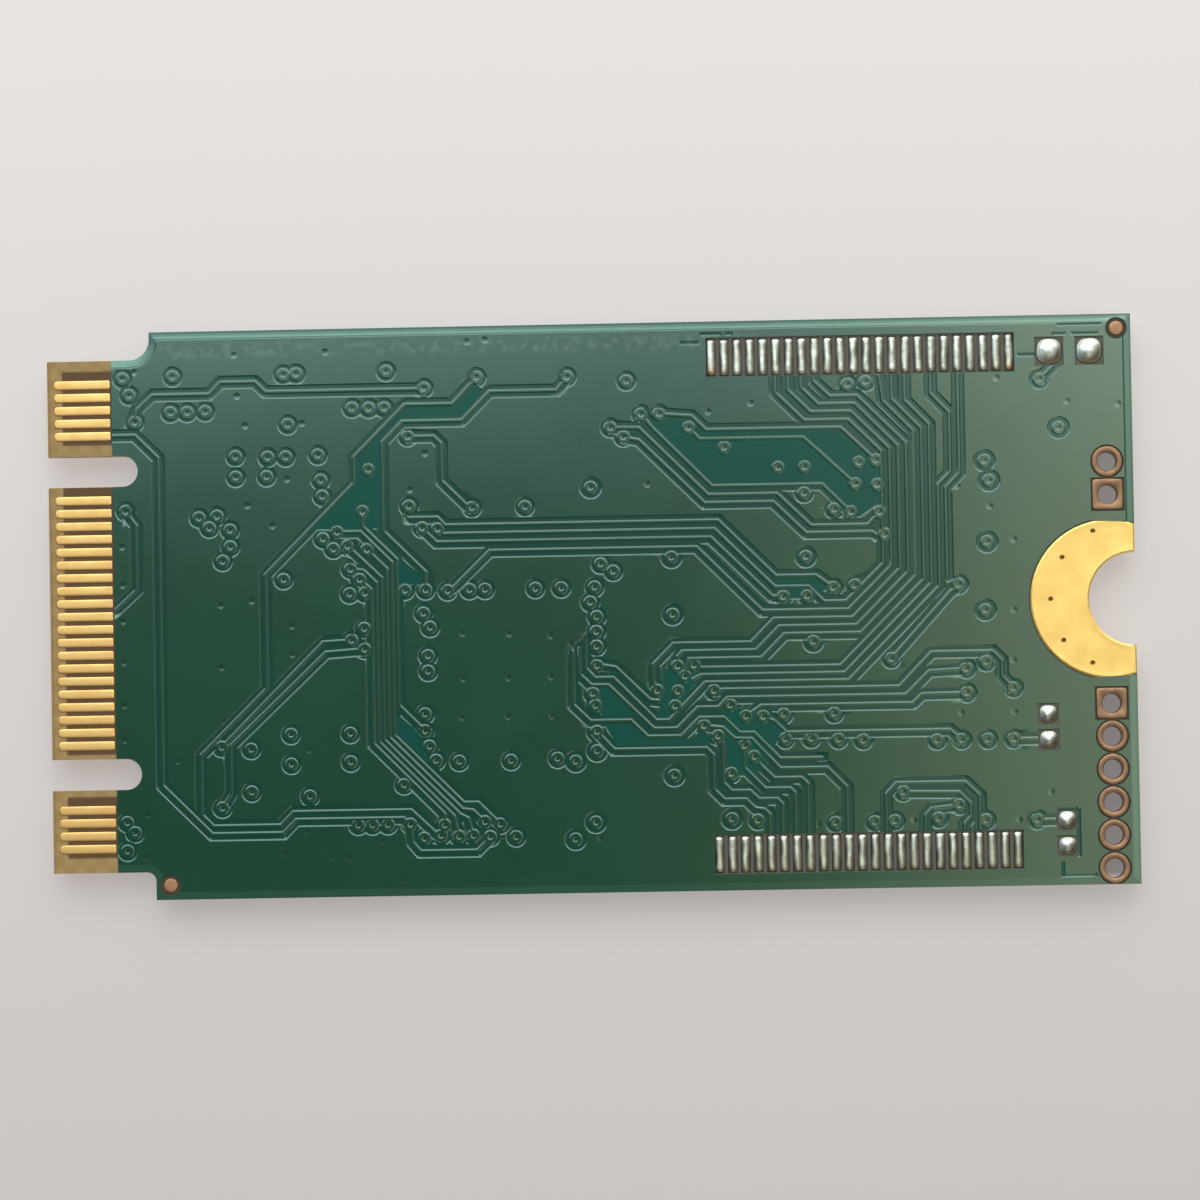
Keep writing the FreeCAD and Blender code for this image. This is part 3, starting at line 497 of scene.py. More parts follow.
# The relief in the film, in millimetres from the connector edge and from the centre line.
# A ring via is a copper pad in a round clearance; wide ones have more clearance. A dimple is a filled hole.
relief = dict(step=0.0175, half=0.033, clearance=0.18, viaPad=0.25, viaClear=0.14, wideClear=0.18,
              ringShare=0.54, ringCount=20, grooveBare=0.6, grooveShade=0.30,
              viaHole=0.09, holeDepth=0.0055, holeShade=0.4, holeLeast=0.03, holeCount=12,
              dimple=0.10, dimpleSoft=0.07, dimpleDepth=0.004, dimpleShade=0.42,
              marginGroove=0.29, marginPour=0.30, marginGlowFar=1.0, marginGlowTail=0.22, marginElse=0.07,
              farFacing=0.5, gridStep=0.32, shoulder=0.05, longest=0.6)
ringVias = [
    (2.95, 9.2), (3.2, 8.55), (3.4, 7.5), (4.9, 9.25), (4.8, 7.85), (5.45, 7.85), (6.15, 7.87), (9.2, 9.25),
    (9.7, 9.27), (9.35, 7.3), (7.3, 6.1), (7.3, 5.3), (8.55, 6.05), (9.25, 6.05), (8.5, 5.3), (10.5, 6.1),
    (10.6, 5.12), (10.65, 4.5), (3.0, 4.05), (5.85, 3.75), (6.55, 3.8), (6.25, 3.35), (7.05, 3.25),
    (7.05, 2.6), (6.75, 2.05), (10.65, 2.85), (9.1, 1.3), (6.6, -5.15), (7.75, -5.25), (9.3, -4.7),
    (9.3, -5.85), (7.75, -6.9), (10.0, -7.1), (6.6, -7.5), (2.9, -8.0), (3.2, -8.4), (2.9, -9.1),
    (13.2, 9.3), (11.85, 7.9), (12.5, 7.88), (13.1, 7.88), (14.65, 8.62), (16.7, 9.0), (12.45, 5.5),
    (12.2, 3.88), (14.0, 6.75), (14.0, 4.05), (16.45, 3.95), (18.5, 3.95), (20.2, 8.95), (11.2, 3.1),
    (11.05, 2.45), (11.6, 2.55), (12.35, 2.4), (11.7, 1.65), (12.05, 1.25), (11.65, 0.7), (12.25, 0.72),
    (14.5, 3.2), (15.1, 3.15), (13.8, 0.8), (14.6, 0.8), (15.45, 0.75), (16.3, 0.78), (16.9, 0.78),
    (18.85, 0.78), (19.85, 0.78), (14.5, -0.1), (14.75, -0.65), (14.65, -1.75), (14.65, -2.35),
    (12.2, -0.65), (11.7, -1.1), (12.2, -1.45), (11.6, -4.7), (11.6, -5.8), (13.65, -6.72), (11.85, -8.25),
    (12.4, -8.25), (13.0, -8.25), (13.87, -8.25), (14.4, -8.8), (15.05, -8.7), (15.2, -8.3), (15.75, -8.75),
    (16.3, -8.72), (16.75, -8.2), (16.95, -8.78), (17.35, -8.3), (17.95, -8.8), (14.5, -4.0), (14.5, -4.65),
    (14.65, -5.25), (14.9, -5.8), (15.8, -5.85), (17.8, -5.85), (19.6, -5.8), (22.5, 8.75), (21.85, 6.95),
    (22.35, 6.58), (23.05, 7.45), (23.75, 7.45), (24.88, 6.9), (26.25, 6.1), (28.32, 5.29), (29.34, 5.29),
    (29.3, 4.28), (30.45, 3.63), (21.39, 1.68), (21.87, 1.39), (21.14, 0.79), (20.96, 0.21), (21.2, -0.36),
    (21.18, -0.93), (21.18, -1.5), (21.18, -2.25), (21.0, -3.32), (21.1, -3.79), (23.5, -3.25),
    (24.29, -3.29), (24.18, -3.86), (24.29, -2.32), (24.93, -2.29), (24.57, -2.71), (25.68, -3.29),
    (26.3, -3.86), (28.43, 0.29), (29.35, 0.3), (30.36, 0.61), (31.2, 0.68), (25.28, -4.64),
    (25.82, -5.04), (26.83, -5.43), (27.2, -5.86), (26.3, -6.5), (27.29, -8.32), (30.28, -8.46),
    (26.9, -4.3), (27.57, -4.32), (28.36, -4.25), (30.3, -4.25), (28.4, -5.2), (29.4, -5.2), (30.45, -5.25),
    (31.4, -5.3), (32.1, 5.5), (31.29, 4.6), (32.14, 4.56), (31.44, 5.43), (31.1, 3.52), (32.2, 3.5),
    (32.39, 2.63), (31.05, 8.45), (31.75, 8.55), (38.46, 8.52), (35.2, 0.64), (32.54, -2.18), (36.2, -2.36),
    (35.43, -2.61), (35.43, -3.54), (37.23, -3.39), (34.25, -5.35), (35.2, -5.35), (36.2, -5.35),
    (37.2, -5.35), (38.05, -8.48), (32.91, -7.32), (35.07, -7.86), (34.25, -8.36), (32.57, -8.43),
    (31.79, -8.46), (36.07, -8.46)]
wideVias = [
    (21.05, 4.65), (24.13, 1.89), (24.14, -0.32), (29.32, 1.82), (29.55, -1.46), (21.14, -4.79),
    (21.13, -5.54), (20.3, -5.93), (20.25, -8.93), (21.04, -8.29), (24.1, -6.54), (26.29, -8.25),
    (39.16, 6.63), (36.27, 5.41), (36.44, 4.64), (36.32, 2.27), (36.21, -0.36)]
dimples = [
    (3.4, 9.45), (7.3, 10.05), (7.4, 8.45), (7.7, 7.3), (9.9, 7.35), (9.3, 5.2), (7.75, 4.2), (8.7, 3.4),
    (2.85, 2.68), (2.85, 1.2), (2.85, -0.2), (2.85, -1.8), (2.85, -3.47), (2.85, -4.8), (7.85, 0.5),
    (6.65, 0.35), (6.65, -2.05), (9.4, -0.5), (9.4, -1.6), (3.68, -7.7), (3.6, -9.35), (4.9, -5.65),
    (6.7, -4.15), (10.0, -5.3), (9.85, -8.45), (9.0, -9.3), (10.8, -9.45), (11.5, -9.5), (13.6, -10.4),
    (12.8, -8.9), (17.45, -8.75), (10.85, 10.1), (16.35, 10.4), (17.05, 10.45), (14.65, 6.1), (14.05, 4.7),
    (20.2, -1.4), (23.25, 4.74), (25.65, 7.5), (27.3, 7.8), (36.8, 8.6), (39.5, 7.65), (41.46, 7.52),
    (35.2, 4.45), (36.45, 3.65), (37.35, 2.35), (37.3, -0.35), (37.25, -2.3), (35.2, -4.3), (37.25, -4.3),
    (38.6, -7.4), (37.35, -8.45), (33.3, -8.4), (29.6, -8.5), (21.2, -8.9), (16.0, -0.9), (17.8, -0.95),
    (19.4, -1.05), (16.0, -2.65), (17.75, -2.65), (19.4, -2.65), (15.9, -4.15), (17.7, -4.15),
    (19.4, -4.15)]
bareWindows = [
    [(16.6, 8.75), (17.0, 8.45), (16.1, 7.5), (13.75, 7.5), (12.92, 6.6), (12.92, 3.2), (10.2, 3.2),
     (11.95, 4.95), (11.95, 5.95), (13.95, 7.92), (15.8, 7.92)],
    [(13.55, 2.1), (14.5, 1.3), (14.4, 1.0), (13.55, 1.0)],
    [(13.4, -4.0), (14.25, -4.7), (14.6, -5.6), (14.6, -5.9), (13.4, -4.8)],
    [(23.5, 7.25), (24.9, 7.25), (25.5, 6.7), (30.7, 6.7), (32.3, 5.1), (32.3, 3.9), (31.4, 3.3),
     (30.9, 3.5), (29.9, 4.55), (25.65, 4.75), (23.4, 7.0)],
    [(21.25, -3.1), (21.6, -3.1), (22.6, -4.1), (22.4, -4.3), (21.3, -4.3)],
    [(21.4, -4.5), (22.4, -4.5), (23.1, -5.1), (24.9, -5.1), (25.2, -4.7), (25.6, -5.35), (21.9, -5.35)],
    [(23.7, -2.4), (25.0, -2.4), (25.0, -3.0), (23.9, -4.3), (23.4, -4.3), (23.7, -3.6)],
    [(26.0, -4.0), (27.8, -4.0), (28.3, -4.6), (28.3, -5.0), (27.3, -6.6), (26.2, -6.6), (26.1, -5.0)],
    [(28.2, 1.0), (29.8, 1.0), (30.2, 0.6), (29.6, 0.2), (28.4, 0.2)]]
# narrow grooves beside the empty sites, as low and high corners
sideGrooves = [
    [(39.2, 10.58), (40.9, 10.68)], [(39.0, 10.22), (39.5, 10.32)], [(39.72, 10.22), (40.75, 10.32)],
    [(37.62, 9.42), (38.28, 9.54)], [(24.6, 10.12), (25.36, 10.24)], [(25.36, 10.46), (26.2, 10.56)],
    [(26.34, 10.46), (26.62, 10.56)], [(38.95, -10.68), (39.05, -10.1)], [(39.05, -10.68), (40.3, -10.58)],
    [(39.58, -9.9), (39.7, -8.1)], [(38.9, -8.14), (39.58, -8.02)]]


def onCard(places):
    # from connector edge and centre line to the frame
    edge = corners("circuit_board")[0][0]
    return np.array([(edge + along, across) for along, across in places])


def anticlockwise(loop):
    return loop if loopArea(loop) > 0 else loop[::-1]


eyeletLook = dict(maskGap=0.04, maskCount=40, stripReach=0.1, squareWithin=9.0, squarePower=14.0, wall=0.035,
                  rim=0.03, crown=1.05, inner=((0, 0), (0.3, 0.7), (1, 1)),
                  outer=((1.2, 1), (0.3, 0.6), (0, 0)), ringCount=40)
markLook = dict(profile=((1.0, 0.0), (1.0, 0.55), (0.95, 0.8), (0.85, 0.92), (0.6, 0.98), (0.3, 1.0)),
                count=36, maskCount=32, maskWithin=0.1)


def squareEyelet(low, high):
    # the first eyelet of each row, next to the screw land, has a square pad
    return abs(low[1] + high[1]) < eyeletLook["squareWithin"]


def filmOpenings(node, level):
    # the film's outer outline and its openings, with a round or square opening for each header pad
    loops = faceLoops(node, level)
    outer = max(loops, key=loopArea)
    stripLow, stripHigh = (corner[:2] for corner in corners("header_eyelets"))
    reach, margin = eyeletLook["stripReach"], eyeletLook["maskGap"]
    outer = outer[~np.all((outer > stripLow - reach) & (outer < stripHigh + reach), axis=1)]
    openings = []
    for low, high in solidsOf("header_eyelets"):
        if squareEyelet(low, high):
            openings.append(rectangle(low[:2] - margin, high[:2] + margin))
        else:
            radius = (high[0] - low[0]) / 2 + margin
            openings.append(circle(*(low + high)[:2] / 2, radius, eyeletLook["maskCount"]))
    marks = [(low + high)[:2] / 2 for low, high in solidsOf("corner_marks")]
    for hole in (anticlockwise(loop) for loop in loops if loopArea(loop) < 0):
        low, high = hole.min(axis=0), hole.max(axis=0)
        middle = (low + high) / 2
        if any(np.linalg.norm(mark - middle) < markLook["maskWithin"] for mark in marks):
            openings.append(circle(*middle, (high[0] - low[0]) / 2, markLook["maskCount"]))
        elif not (low[0] < stripLow[0] and high[0] > stripHigh[0]):
            openings.append(hole)
    return outer, openings


class Relief:
    # the copper pattern under a film: outlines to follow, and the film's rise over it
    def __init__(self, rim, traces, vias, wide, dots, windows):
        self.rim = rim
        self.traces = traces
        self.windows = windows
        pad, clear, far = relief["viaPad"], relief["viaClear"], relief["wideClear"]
        self.pads = np.array([(x, y, pad) for x, y in vias + wide])
        self.clear = np.array([(x, y, pad + clear) for x, y in vias] + [(x, y, pad + far) for x, y in wide])
        self.holes = np.array([(x, y, relief["viaHole"]) for x, y in vias + wide])
        self.dents = np.array([(x, y, relief["dimple"]) for x, y in dots])

    def guides(self):
        # lines that the mesh has to follow: both ends and the middle of each slope
        half, least, few = relief["half"], relief["holeLeast"], relief["holeCount"]
        lines = []
        for shift in (-half, 0.0, half):
            slopes = [(self.rim, shift - relief["marginGroove"]), (self.rim, shift - relief["marginPour"])]
            slopes += [(loop, shift) for loop in self.windows]
            for loop in self.traces:
                slopes += [(loop, shift), (loop, relief["clearance"] + shift)]
            for loop, distance in slopes:
                lines.append(shouldered(offsetLoop(loop, distance), relief["shoulder"], relief["longest"]))
            for dots in (self.pads, self.clear):
                lines.extend(circle(x, y, radius + shift, relief["ringCount"]) for x, y, radius in dots)
            soft = shift * relief["dimpleSoft"] / half
            for dots, slope in ((self.holes, shift), (self.dents, soft)):
                lines.extend(circle(x, y, max(radius + slope, least), few) for x, y, radius in dots)
        return lines

    def rise(self, points):
        half = relief["half"]
        edge = inverse(awayFromLoops(points, [self.rim]))
        outward = -edge[1]
        # only the far half has a groove along its margin
        farSide = (outward[:, 1] > relief["farFacing"]) | (points[:, 1] > 0)
        grooved = farSide & (edge[0] < 2 * relief["marginPour"])
        pour = [(np.where(grooved, edge[0] - relief["marginPour"], 1.0), edge[1])]
        raised = [inverse(awayFromDots(points, self.pads))]
        if self.traces:
            trace = awayFromLoops(points, self.traces)
            pour.append(shifted(trace, relief["clearance"]))
            raised.append(inverse(trace))
        windowed = np.zeros(len(points))
        if self.windows:
            window = awayFromLoops(points, self.windows)
            pour.append(window)
            windowed = ramp(-window[0], half)[0]
        copper = largest(*raised, smallest(*pour))
        ring = largest(*raised, awayFromDots(points, self.clear))
        margin = inverse(edge, relief["marginGroove"])
        top = largest(copper, margin)
        level, slope = ramp(top[0], half)
        ringLevel, ringSlope = ramp(ring[0], half)
        filled = 1 - relief["ringShare"] * (1 - ringLevel)     # the narrow rings round vias are half filled
        hole = awayFromDots(points, self.holes)
        dip, dipSlope = ramp(-hole[0], half)
        dent = awayFromDots(points, self.dents)
        bowl, bowlSlope = ramp(-dent[0], relief["dimpleSoft"])
        height = relief["step"] * level * filled - relief["holeDepth"] * dip - relief["dimpleDepth"] * bowl
        lean = relief["step"] * (slope * filled)[:, None] * top[1]
        lean += relief["step"] * (level * relief["ringShare"] * ringSlope)[:, None] * ring[1]
        lean += relief["holeDepth"] * dipSlope[:, None] * hole[1]
        lean += relief["dimpleDepth"] * bowlSlope[:, None] * dent[1]
        groove = 1 - ramp(np.minimum(copper[0], ring[0]), half)[0]
        bare = np.maximum(relief["grooveBare"] * groove, windowed * (1 - ramp(copper[0], half)[0]))
        # the pale margin is partly the paler film over copper-free laminate and partly a painted glow,
        # strongest where the edge faces far and next where it faces the tail
        paleAndGlow = relief["marginElse"] + relief["marginGlowFar"] * np.clip(outward[:, 1], 0, 1)
        paleAndGlow += relief["marginGlowTail"] * np.clip(outward[:, 0], 0, 1)
        pale = np.clip(paleAndGlow, 0, 1) * ramp(margin[0], half)[0]
        # painted shade: via holes, dimples and narrow grooves darken towards the hole colour
        paintedShade = np.maximum(relief["holeShade"] * dip, relief["dimpleShade"] * bowl)
        paintedShade = np.maximum(paintedShade, relief["grooveShade"] * groove * (1 - windowed) * (1 - pale))
        return height, lean, np.stack([bare * (1 - pale), pale, paintedShade], axis=1)


def triangulate(loops, spots=()):
    points, edges = [Vector((float(x), float(y))) for x, y in spots], []
    for loop in loops:
        first = len(points)
        points.extend(Vector((float(x), float(y))) for x, y in loop)
        edges.extend((first + k, first + (k + 1) % len(loop)) for k in range(len(loop)))
    places, _, faces, _, _, _ = delaunay_2d_cdt(points, edges, [], 0, reading["joinWithin"])
    return np.array([tuple(place) for place in places]), [tuple(face) for face in faces]


def middlesOf(points, faces):
    return np.array([points[list(face)].mean(axis=0) for face in faces])


def filmFaces(outer, openings, pattern):
    # faces inside the outline and outside the openings, along the pattern's lines
    low, high = outer.min(axis=0), outer.max(axis=0)
    grid = np.meshgrid(*(np.arange(start, end, relief["gridStep"]) for start, end in zip(low, high)))
    points, faces = triangulate([outer] + openings + pattern.guides(), zip(grid[0].ravel(), grid[1].ravel()))
    middles = middlesOf(points, faces)
    keep = awayFromLoops(middles, [outer])[0] < 0
    for opening in openings:
        near = np.all((middles > opening.min(axis=0)) & (middles < opening.max(axis=0)), axis=1)
        picked = np.where(near)[0]
        if len(picked):
            keep[picked] &= awayFromLoops(middles[picked], [opening])[0] > 0
    faces = [face for face, kept in zip(faces, keep) if kept]
    used = sorted({k for face in faces for k in face})
    renumber = {k: index for index, k in enumerate(used)}
    return points[used], [tuple(renumber[k] for k in face) for face in faces]


def innerFaces(points, loops, lower):
    # the flat side of a film, between the lower points of its walls
    rims = [points[loop] for loop in loops]
    spots, faces = triangulate(rims)
    inside = awayFromLoops(middlesOf(spots, faces), rims)[0] < 0
    nearest = {tuple(np.round(points[k], reading["weldDigits"])): lower[k] for k in lower}
    found = []
    for face, kept in zip(faces, inside):
        ring = [nearest.get(tuple(np.round(spots[k], reading["weldDigits"]))) for k in face]
        if kept and None not in ring:
            found.append(tuple(ring[::-1]))
    return found


def filmPiece(name, outer, openings, pattern, low, high, upward, material):
    # a closed film: a relief on its outer face, walls round its outline and openings, and a flat inner face
    points, faces = filmFaces(outer, openings, pattern)
    height, lean, under = pattern.rise(points)
    outside, inside, sign = (high, low, 1) if upward else (low, high, -1)
    vertices = [(x, y, outside + sign * rise) for (x, y), rise in zip(points, height)]
    loops = boundaryLoops(faces)
    lower, walls = {}, []
    for k in (k for loop in loops for k in loop):
        if k not in lower:
            lower[k] = len(vertices)
            vertices.append((*points[k], inside))
    for loop in loops:
        walls.extend((after, k, lower[k], lower[after]) for k, after in zip(loop, loop[1:] + loop[:1]))
    allFaces = faces + walls + innerFaces(points, loops, lower)
    piece = addMesh(name, vertices, allFaces if upward else [face[::-1] for face in allFaces], material)
    normals = np.concatenate([-lean, np.ones((len(points), 1))], axis=1)
    normals /= np.linalg.norm(normals, axis=1, keepdims=True)
    normals[:, 2] *= sign
    loopNormals = []
    for polygon in piece.data.polygons:
        smooth = polygon.index < len(faces)
        polygon.use_smooth = smooth
        loopNormals.extend(tuple(normals[k] if smooth else polygon.normal) for k in polygon.vertices)
    piece.data.normals_split_custom_set(loopNormals)
    paintShares(piece.data, np.concatenate([under, under[list(lower)]]))
    print(name, len(vertices), "vertices,", len(allFaces), "faces")
    return piece


rimLook = dict(front=0.5, corner=0.05, beyond=10.0)


def openRim(loop, start):
    # the board's outline without its tongue and notches, left open towards the connector
    front = rimLook["front"]
    half = loop[loop[:, 0] < loop[:, 0].min() + front][:, 1].max()
    kept = [tuple(spot) for spot in loop if abs(spot[1]) > half - rimLook["corner"] or spot[0] > 0]
    rising = [spot for spot in kept if spot[0] > start - front]
    first = next(k for k, spot in enumerate(rising) if spot[1] < 0 and rising[k - 1][1] > 0 and spot[0] < 0)
    ordered = rising[first:] + rising[:first]
    far = start - rimLook["beyond"]
    return np.array(ordered + [(far, ordered[-1][1]), (far, ordered[0][1])])


def places(*lists):
    return [tuple(place) for given in lists for place in onCard(given)]


greenFilm = filmFinish("greenFilm", True)
chipSideGreen = filmFinish("chipSideGreen", False)
boardLow, boardHigh = corners("circuit_board")
boardRim = max(faceLoops("circuit_board", boardHigh[2]), key=loopArea)
filmLow, filmHigh = corners("plain_side_mask")
traceTop = corners("plain_side_traces")[1][2]
traceLoops = [anticlockwise(loop) for loop in faceLoops("plain_side_traces", traceTop)]
outline, openings = filmOpenings("plain_side_mask", filmHigh[2])
filmRim = openRim(boardRim, filmLow[0])
plainPattern = Relief(filmRim, traceLoops, places(ringVias), places(wideVias), onCard(dimples),
                      [anticlockwise(onCard(window)) for window in bareWindows]
                      + [rectangle(*onCard(groove)) for groove in sideGrooves])
plainFilm = filmPiece("plainSideFilm", outline, openings, plainPattern, filmLow[2],
                      traceTop - relief["step"], True, greenFilm)
asPiece(plainFilm, "mask", "plain_side_mask", "plain_side_traces")

# tracks on the chip side: from a terminal straight out, then on the slant to a via
fanOut = dict(width=0.14, reach=3.4, viaGap=0.46, partGap=0.12, trackGap=0.34, steps=24,
              leastStraight=0.05, leastSlant=0.02, same=0.01)


def trackLoop(line):
    steps = np.diff(line, axis=0)
    steps /= np.linalg.norm(steps, axis=1, keepdims=True)
    before, after = np.concatenate([steps[:1], steps]), np.concatenate([steps, steps[-1:]])
    middle = before + after
    middle /= np.linalg.norm(middle, axis=1, keepdims=True)
    side = np.stack([middle[:, 1], -middle[:, 0]], axis=1) / np.sum(middle * after, axis=1, keepdims=True)
    side *= fanOut["width"] / 2
    return anticlockwise(np.concatenate([line + side, (line - side)[::-1]]))


def outerEnds(node, body):
    # where each terminal of a package ends, and the way out from there
    low, high = (corner[:2] for corner in corners(body))
    starts = []
    for start, end in solidsOf(node):
        spot, half = (start + end)[:2] / 2, (end - start)[:2] / 2
        share = (2 * spot - low - high) / (high - low)
        way = np.sign(share) * (np.abs(share) == np.abs(share).max())
        starts.append((spot + way * half, way))
    return starts


def fanTracks(starts, vias, boxes):
    loops, laid, taken = [], [], set()
    for via in np.array(vias):
        others = [other for other in vias if np.linalg.norm(np.array(other) - via) > fanOut["same"]]
        choices = []
        for k, (spot, way) in enumerate(starts):
            out = (via - spot) @ way
            slant = np.linalg.norm(via - spot - out * way)
            if k not in taken and slant <= out < fanOut["reach"]:
                choices.append((slant, k, out - slant))
        for _, k, straight in sorted(choices):
            spot, way = starts[k]
            line = [spot, via]
            if fanOut["leastStraight"] < straight < (via - spot) @ way - fanOut["leastSlant"]:
                line.insert(1, spot + way * straight)
            line = np.array(line)
            share = np.linspace(0, 1, fanOut["steps"])[:, None]
            path = np.concatenate([a + (b - a) * share for a, b in zip(line, line[1:])])
            dots = np.array([(x, y, fanOut["viaGap"]) for x, y in others])
            clear = awayFromDots(path, dots)[0].min() > 0
            clear &= awayFromLoops(path, boxes)[0].min() > fanOut["partGap"]
            for other in laid:
                clear &= np.linalg.norm(path[:, None] - other[None], axis=2).min() > fanOut["trackGap"]
            if clear:
                loops.append(trackLoop(line))
                laid.append(path)
                taken.add(k)
                break
    return loops


chipFilmLow, chipFilmHigh = corners("chip_side_mask")
chipOutline, chipOpenings = filmOpenings("chip_side_mask", chipFilmLow[2])
otherParts = ("crystal_base", "inductor_core", "inductor_terminals", "regulator_bodies", "regulator_leads",
              "capacitor_bodies", "capacitor_ends", "resistor_bodies", "resistor_ends", "flash_chip_leads")
partBoxes = [rectangle(low, high) for node in otherParts for low, high in solidsOf(node)]
trackStarts = outerEnds("controller_terminals", "controller_body")
trackStarts += [(np.array((high[0], (low + high)[1] / 2)), np.array((1.0, 0.0)))
                for low, high in solidsOf("chip_side_contacts")]
chipTracks = fanTracks(trackStarts, places(ringVias, wideVias), partBoxes)
chipPattern = Relief(filmRim, chipTracks, places(ringVias), places(wideVias), onCard(dimples), [])
print("chip side tracks:", len(chipTracks))
chipFilm = filmPiece("chipSideFilm", chipOutline, chipOpenings, chipPattern,
                     chipFilmLow[2] + relief["step"], chipFilmHigh[2], False, chipSideGreen)
asPiece(chipFilm, "mask", "chip_side_mask")
print("films done")


# metals

def metalFinish(name, look, *layers):
    # metal with cloudy tarnish; each layer covers it where its channel of "under" says so
    finish = Finish(name, Metallic=1.0)
    cloud = finish.patch(look["patch"])
    tone = finish.blend(cloud["Mask"], look["tone"], look["dull"])
    if layers:
        under = finish.attribute("under")
        for channel, layer in layers:
            tone = finish.blend(under[channel], tone, look[layer])
    return finish.surface(tone, cloud, look, finish.patch(look["grain"])["Grain"])


goldLook = dict(tone=(0.92, 0.52, 0.195), dull=(0.83, 0.44, 0.155), patch=0.9, rough=(0.26, 0.44),
                grain=0.06, depth=0.002)
copperLook = dict(tone=(0.375, 0.196, 0.117), dull=(0.285, 0.156, 0.096), patch=0.3, rough=(0.36, 0.52),
                  grain=0.05, depth=0.003)
leadLook = dict(tone=(0.66, 0.66, 0.64), dull=(0.54, 0.54, 0.53), patch=0.25, rough=(0.28, 0.44),
                grain=0.04, depth=0.002)
lidLook = dict(tone=(0.72, 0.69, 0.62), dull=(0.64, 0.62, 0.57), patch=1.2, rough=(0.22, 0.34),
               grain=0.05, depth=0.001)
markTone = dict(copperLook, tone=(0.46, 0.225, 0.120), dull=(0.38, 0.195, 0.110))
gold = metalFinish("gold", goldLook)
markCopper = metalFinish("markCopper", markTone)
copper = metalFinish("copper", copperLook)
leadMetal = metalFinish("leadMetal", leadLook)
lidMetal = metalFinish("lidMetal", lidLook)


# edge contacts: cushioned fingers, round at the outer end

finger = dict(frontCorner=0.15, backCorner=0.07, edge=0.02, arcSteps=5, edgeSteps=4, sink=0.003,
              crown=((0.05, 0.7), (0.11, 1.0)))


def roundedOutline(low, high, front, back, inset):
    # corners of the front end (low x) and of the back end have their own radius
    rows = []
    steps = finger["arcSteps"]
    spots = [((low[0], low[1]), front, 180), ((high[0], low[1]), back, 270),
             ((high[0], high[1]), back, 0), ((low[0], high[1]), front, 90)]
    middle = (np.array(low) + np.array(high)) / 2
    for corner, radius, start in spots:
        inward = np.sign(middle - np.array(corner))
        centre = np.array(corner) + inward * radius
        for k in range(steps + 1):
            turn = math.radians(start + 90 * k / steps)
            away = np.array((math.cos(turn), math.sin(turn)))
            shrunk = max(radius - inset, 0.0)
            slip = inward * max(inset - radius, 0.0)
            rows.append(centre + slip + shrunk * away)
    return np.array(rows)


def fingerShape(low, high, upward):
    base, top = (low[2], high[2]) if upward else (high[2], low[2])
    sign = 1 if upward else -1
    levels = [(0.0, 0.0)]
    depth = abs(top - base) - finger["sink"]
    for k in range(finger["edgeSteps"] + 1):
        turn = math.radians(90 * k / finger["edgeSteps"])
        levels.append((finger["edge"] * (1 - math.cos(turn)), depth - finger["edge"] * (1 - math.sin(turn))))
    levels += [(inset, depth + finger["sink"] * share) for inset, share in finger["crown"]]
    rings = []
    for inset, rise in levels:
        ring = roundedOutline(low[:2], high[:2], finger["frontCorner"], finger["backCorner"], inset)
        rings.append([(x, y, base + sign * rise) for x, y in ring])
    vertices, faces = stackedRings(rings)
    return vertices, faces if upward else [face[::-1] for face in faces]


for name, node, upward in (("plainSideFingers", "plain_side_contacts", True),
                           ("chipSideFingers", "chip_side_contacts", False)):
    shapes = [fingerShape(low, high, upward) for low, high in solidsOf(node)]
    asPiece(addMesh(name, *joinShapes(shapes), gold), "gold", node)
print("fingers done")


# screw land: a plated ring on both faces with a sleeve in the notch

land = dict(edge=0.035, drop=0.016, holeRadius=0.075, holeSoft=0.035, holeDepth=0.034, rimInset=0.14,
            rimSoft=0.10, rimRise=0.003, sleeve=0.03, notchWithin=1.02, edgeLines=(0.4, 1.0, 2.0),
            rimLines=(1.0, 2.0), holeLines=(-1.0, -0.4, 0.3, 1.0), holeCount=20,
            holes=[(40.4, 2.62), (39.2, 1.62), (38.73, 0.02), (39.2, -1.58), (40.3, -2.47)])
# the land's gold is a lighter copy of the finger gold, painted light for how the light falls on the land; its
# hole colour is painted dark brown shade in the drill dimples
landLightAndShadeLook = dict(goldLook, tone=(0.94, 0.575, 0.190), dull=(0.88, 0.51, 0.160), hole=(0.16, 0.06, 0.008))


class LandRelief:
    def __init__(self, loop, holes):
        self.loop = loop
        self.holes = np.array([(x, y, land["holeRadius"]) for x, y in holes])

    def guides(self):
        insets = [land["edge"] * share for share in land["edgeLines"]]
        insets += [land["rimInset"] * share for share in land["rimLines"]]
        lines = [offsetLoop(self.loop, -inset) for inset in insets]
        for x, y, radius in self.holes:
            for share in land["holeLines"]:
                lines.append(circle(x, y, radius + land["holeSoft"] * share, land["holeCount"]))
        return lines

    def rise(self, points):
        edge = inverse(awayFromLoops(points, [self.loop]))
        hole = awayFromDots(points, self.holes)
        rounded, roundSlope = ramp(edge[0] - land["edge"], land["edge"])
        rim, rimSlope = ramp(land["rimInset"] - edge[0], land["rimSoft"])
        dip, dipSlope = ramp(-hole[0], land["holeSoft"])
        height = -land["drop"] * (1 - rounded) - land["rimRise"] * (1 - rim) - land["holeDepth"] * dip
        lean = (land["drop"] * roundSlope - land["rimRise"] * rimSlope)[:, None] * edge[1]
        lean = lean + land["holeDepth"] * dipSlope[:, None] * hole[1]
        return height, lean, np.stack([rounded, rim, dip], axis=1)


def notchArc(loop):
    # the points of the land's loop that lie on the notch, from one end to the other
    tail = loop[:, 0].max()
    reach = np.hypot(loop[:, 0] - tail, loop[:, 1])
    inner = loop[reach < reach.min() * land["notchWithin"]]
    return inner[np.argsort(inner[:, 1])]


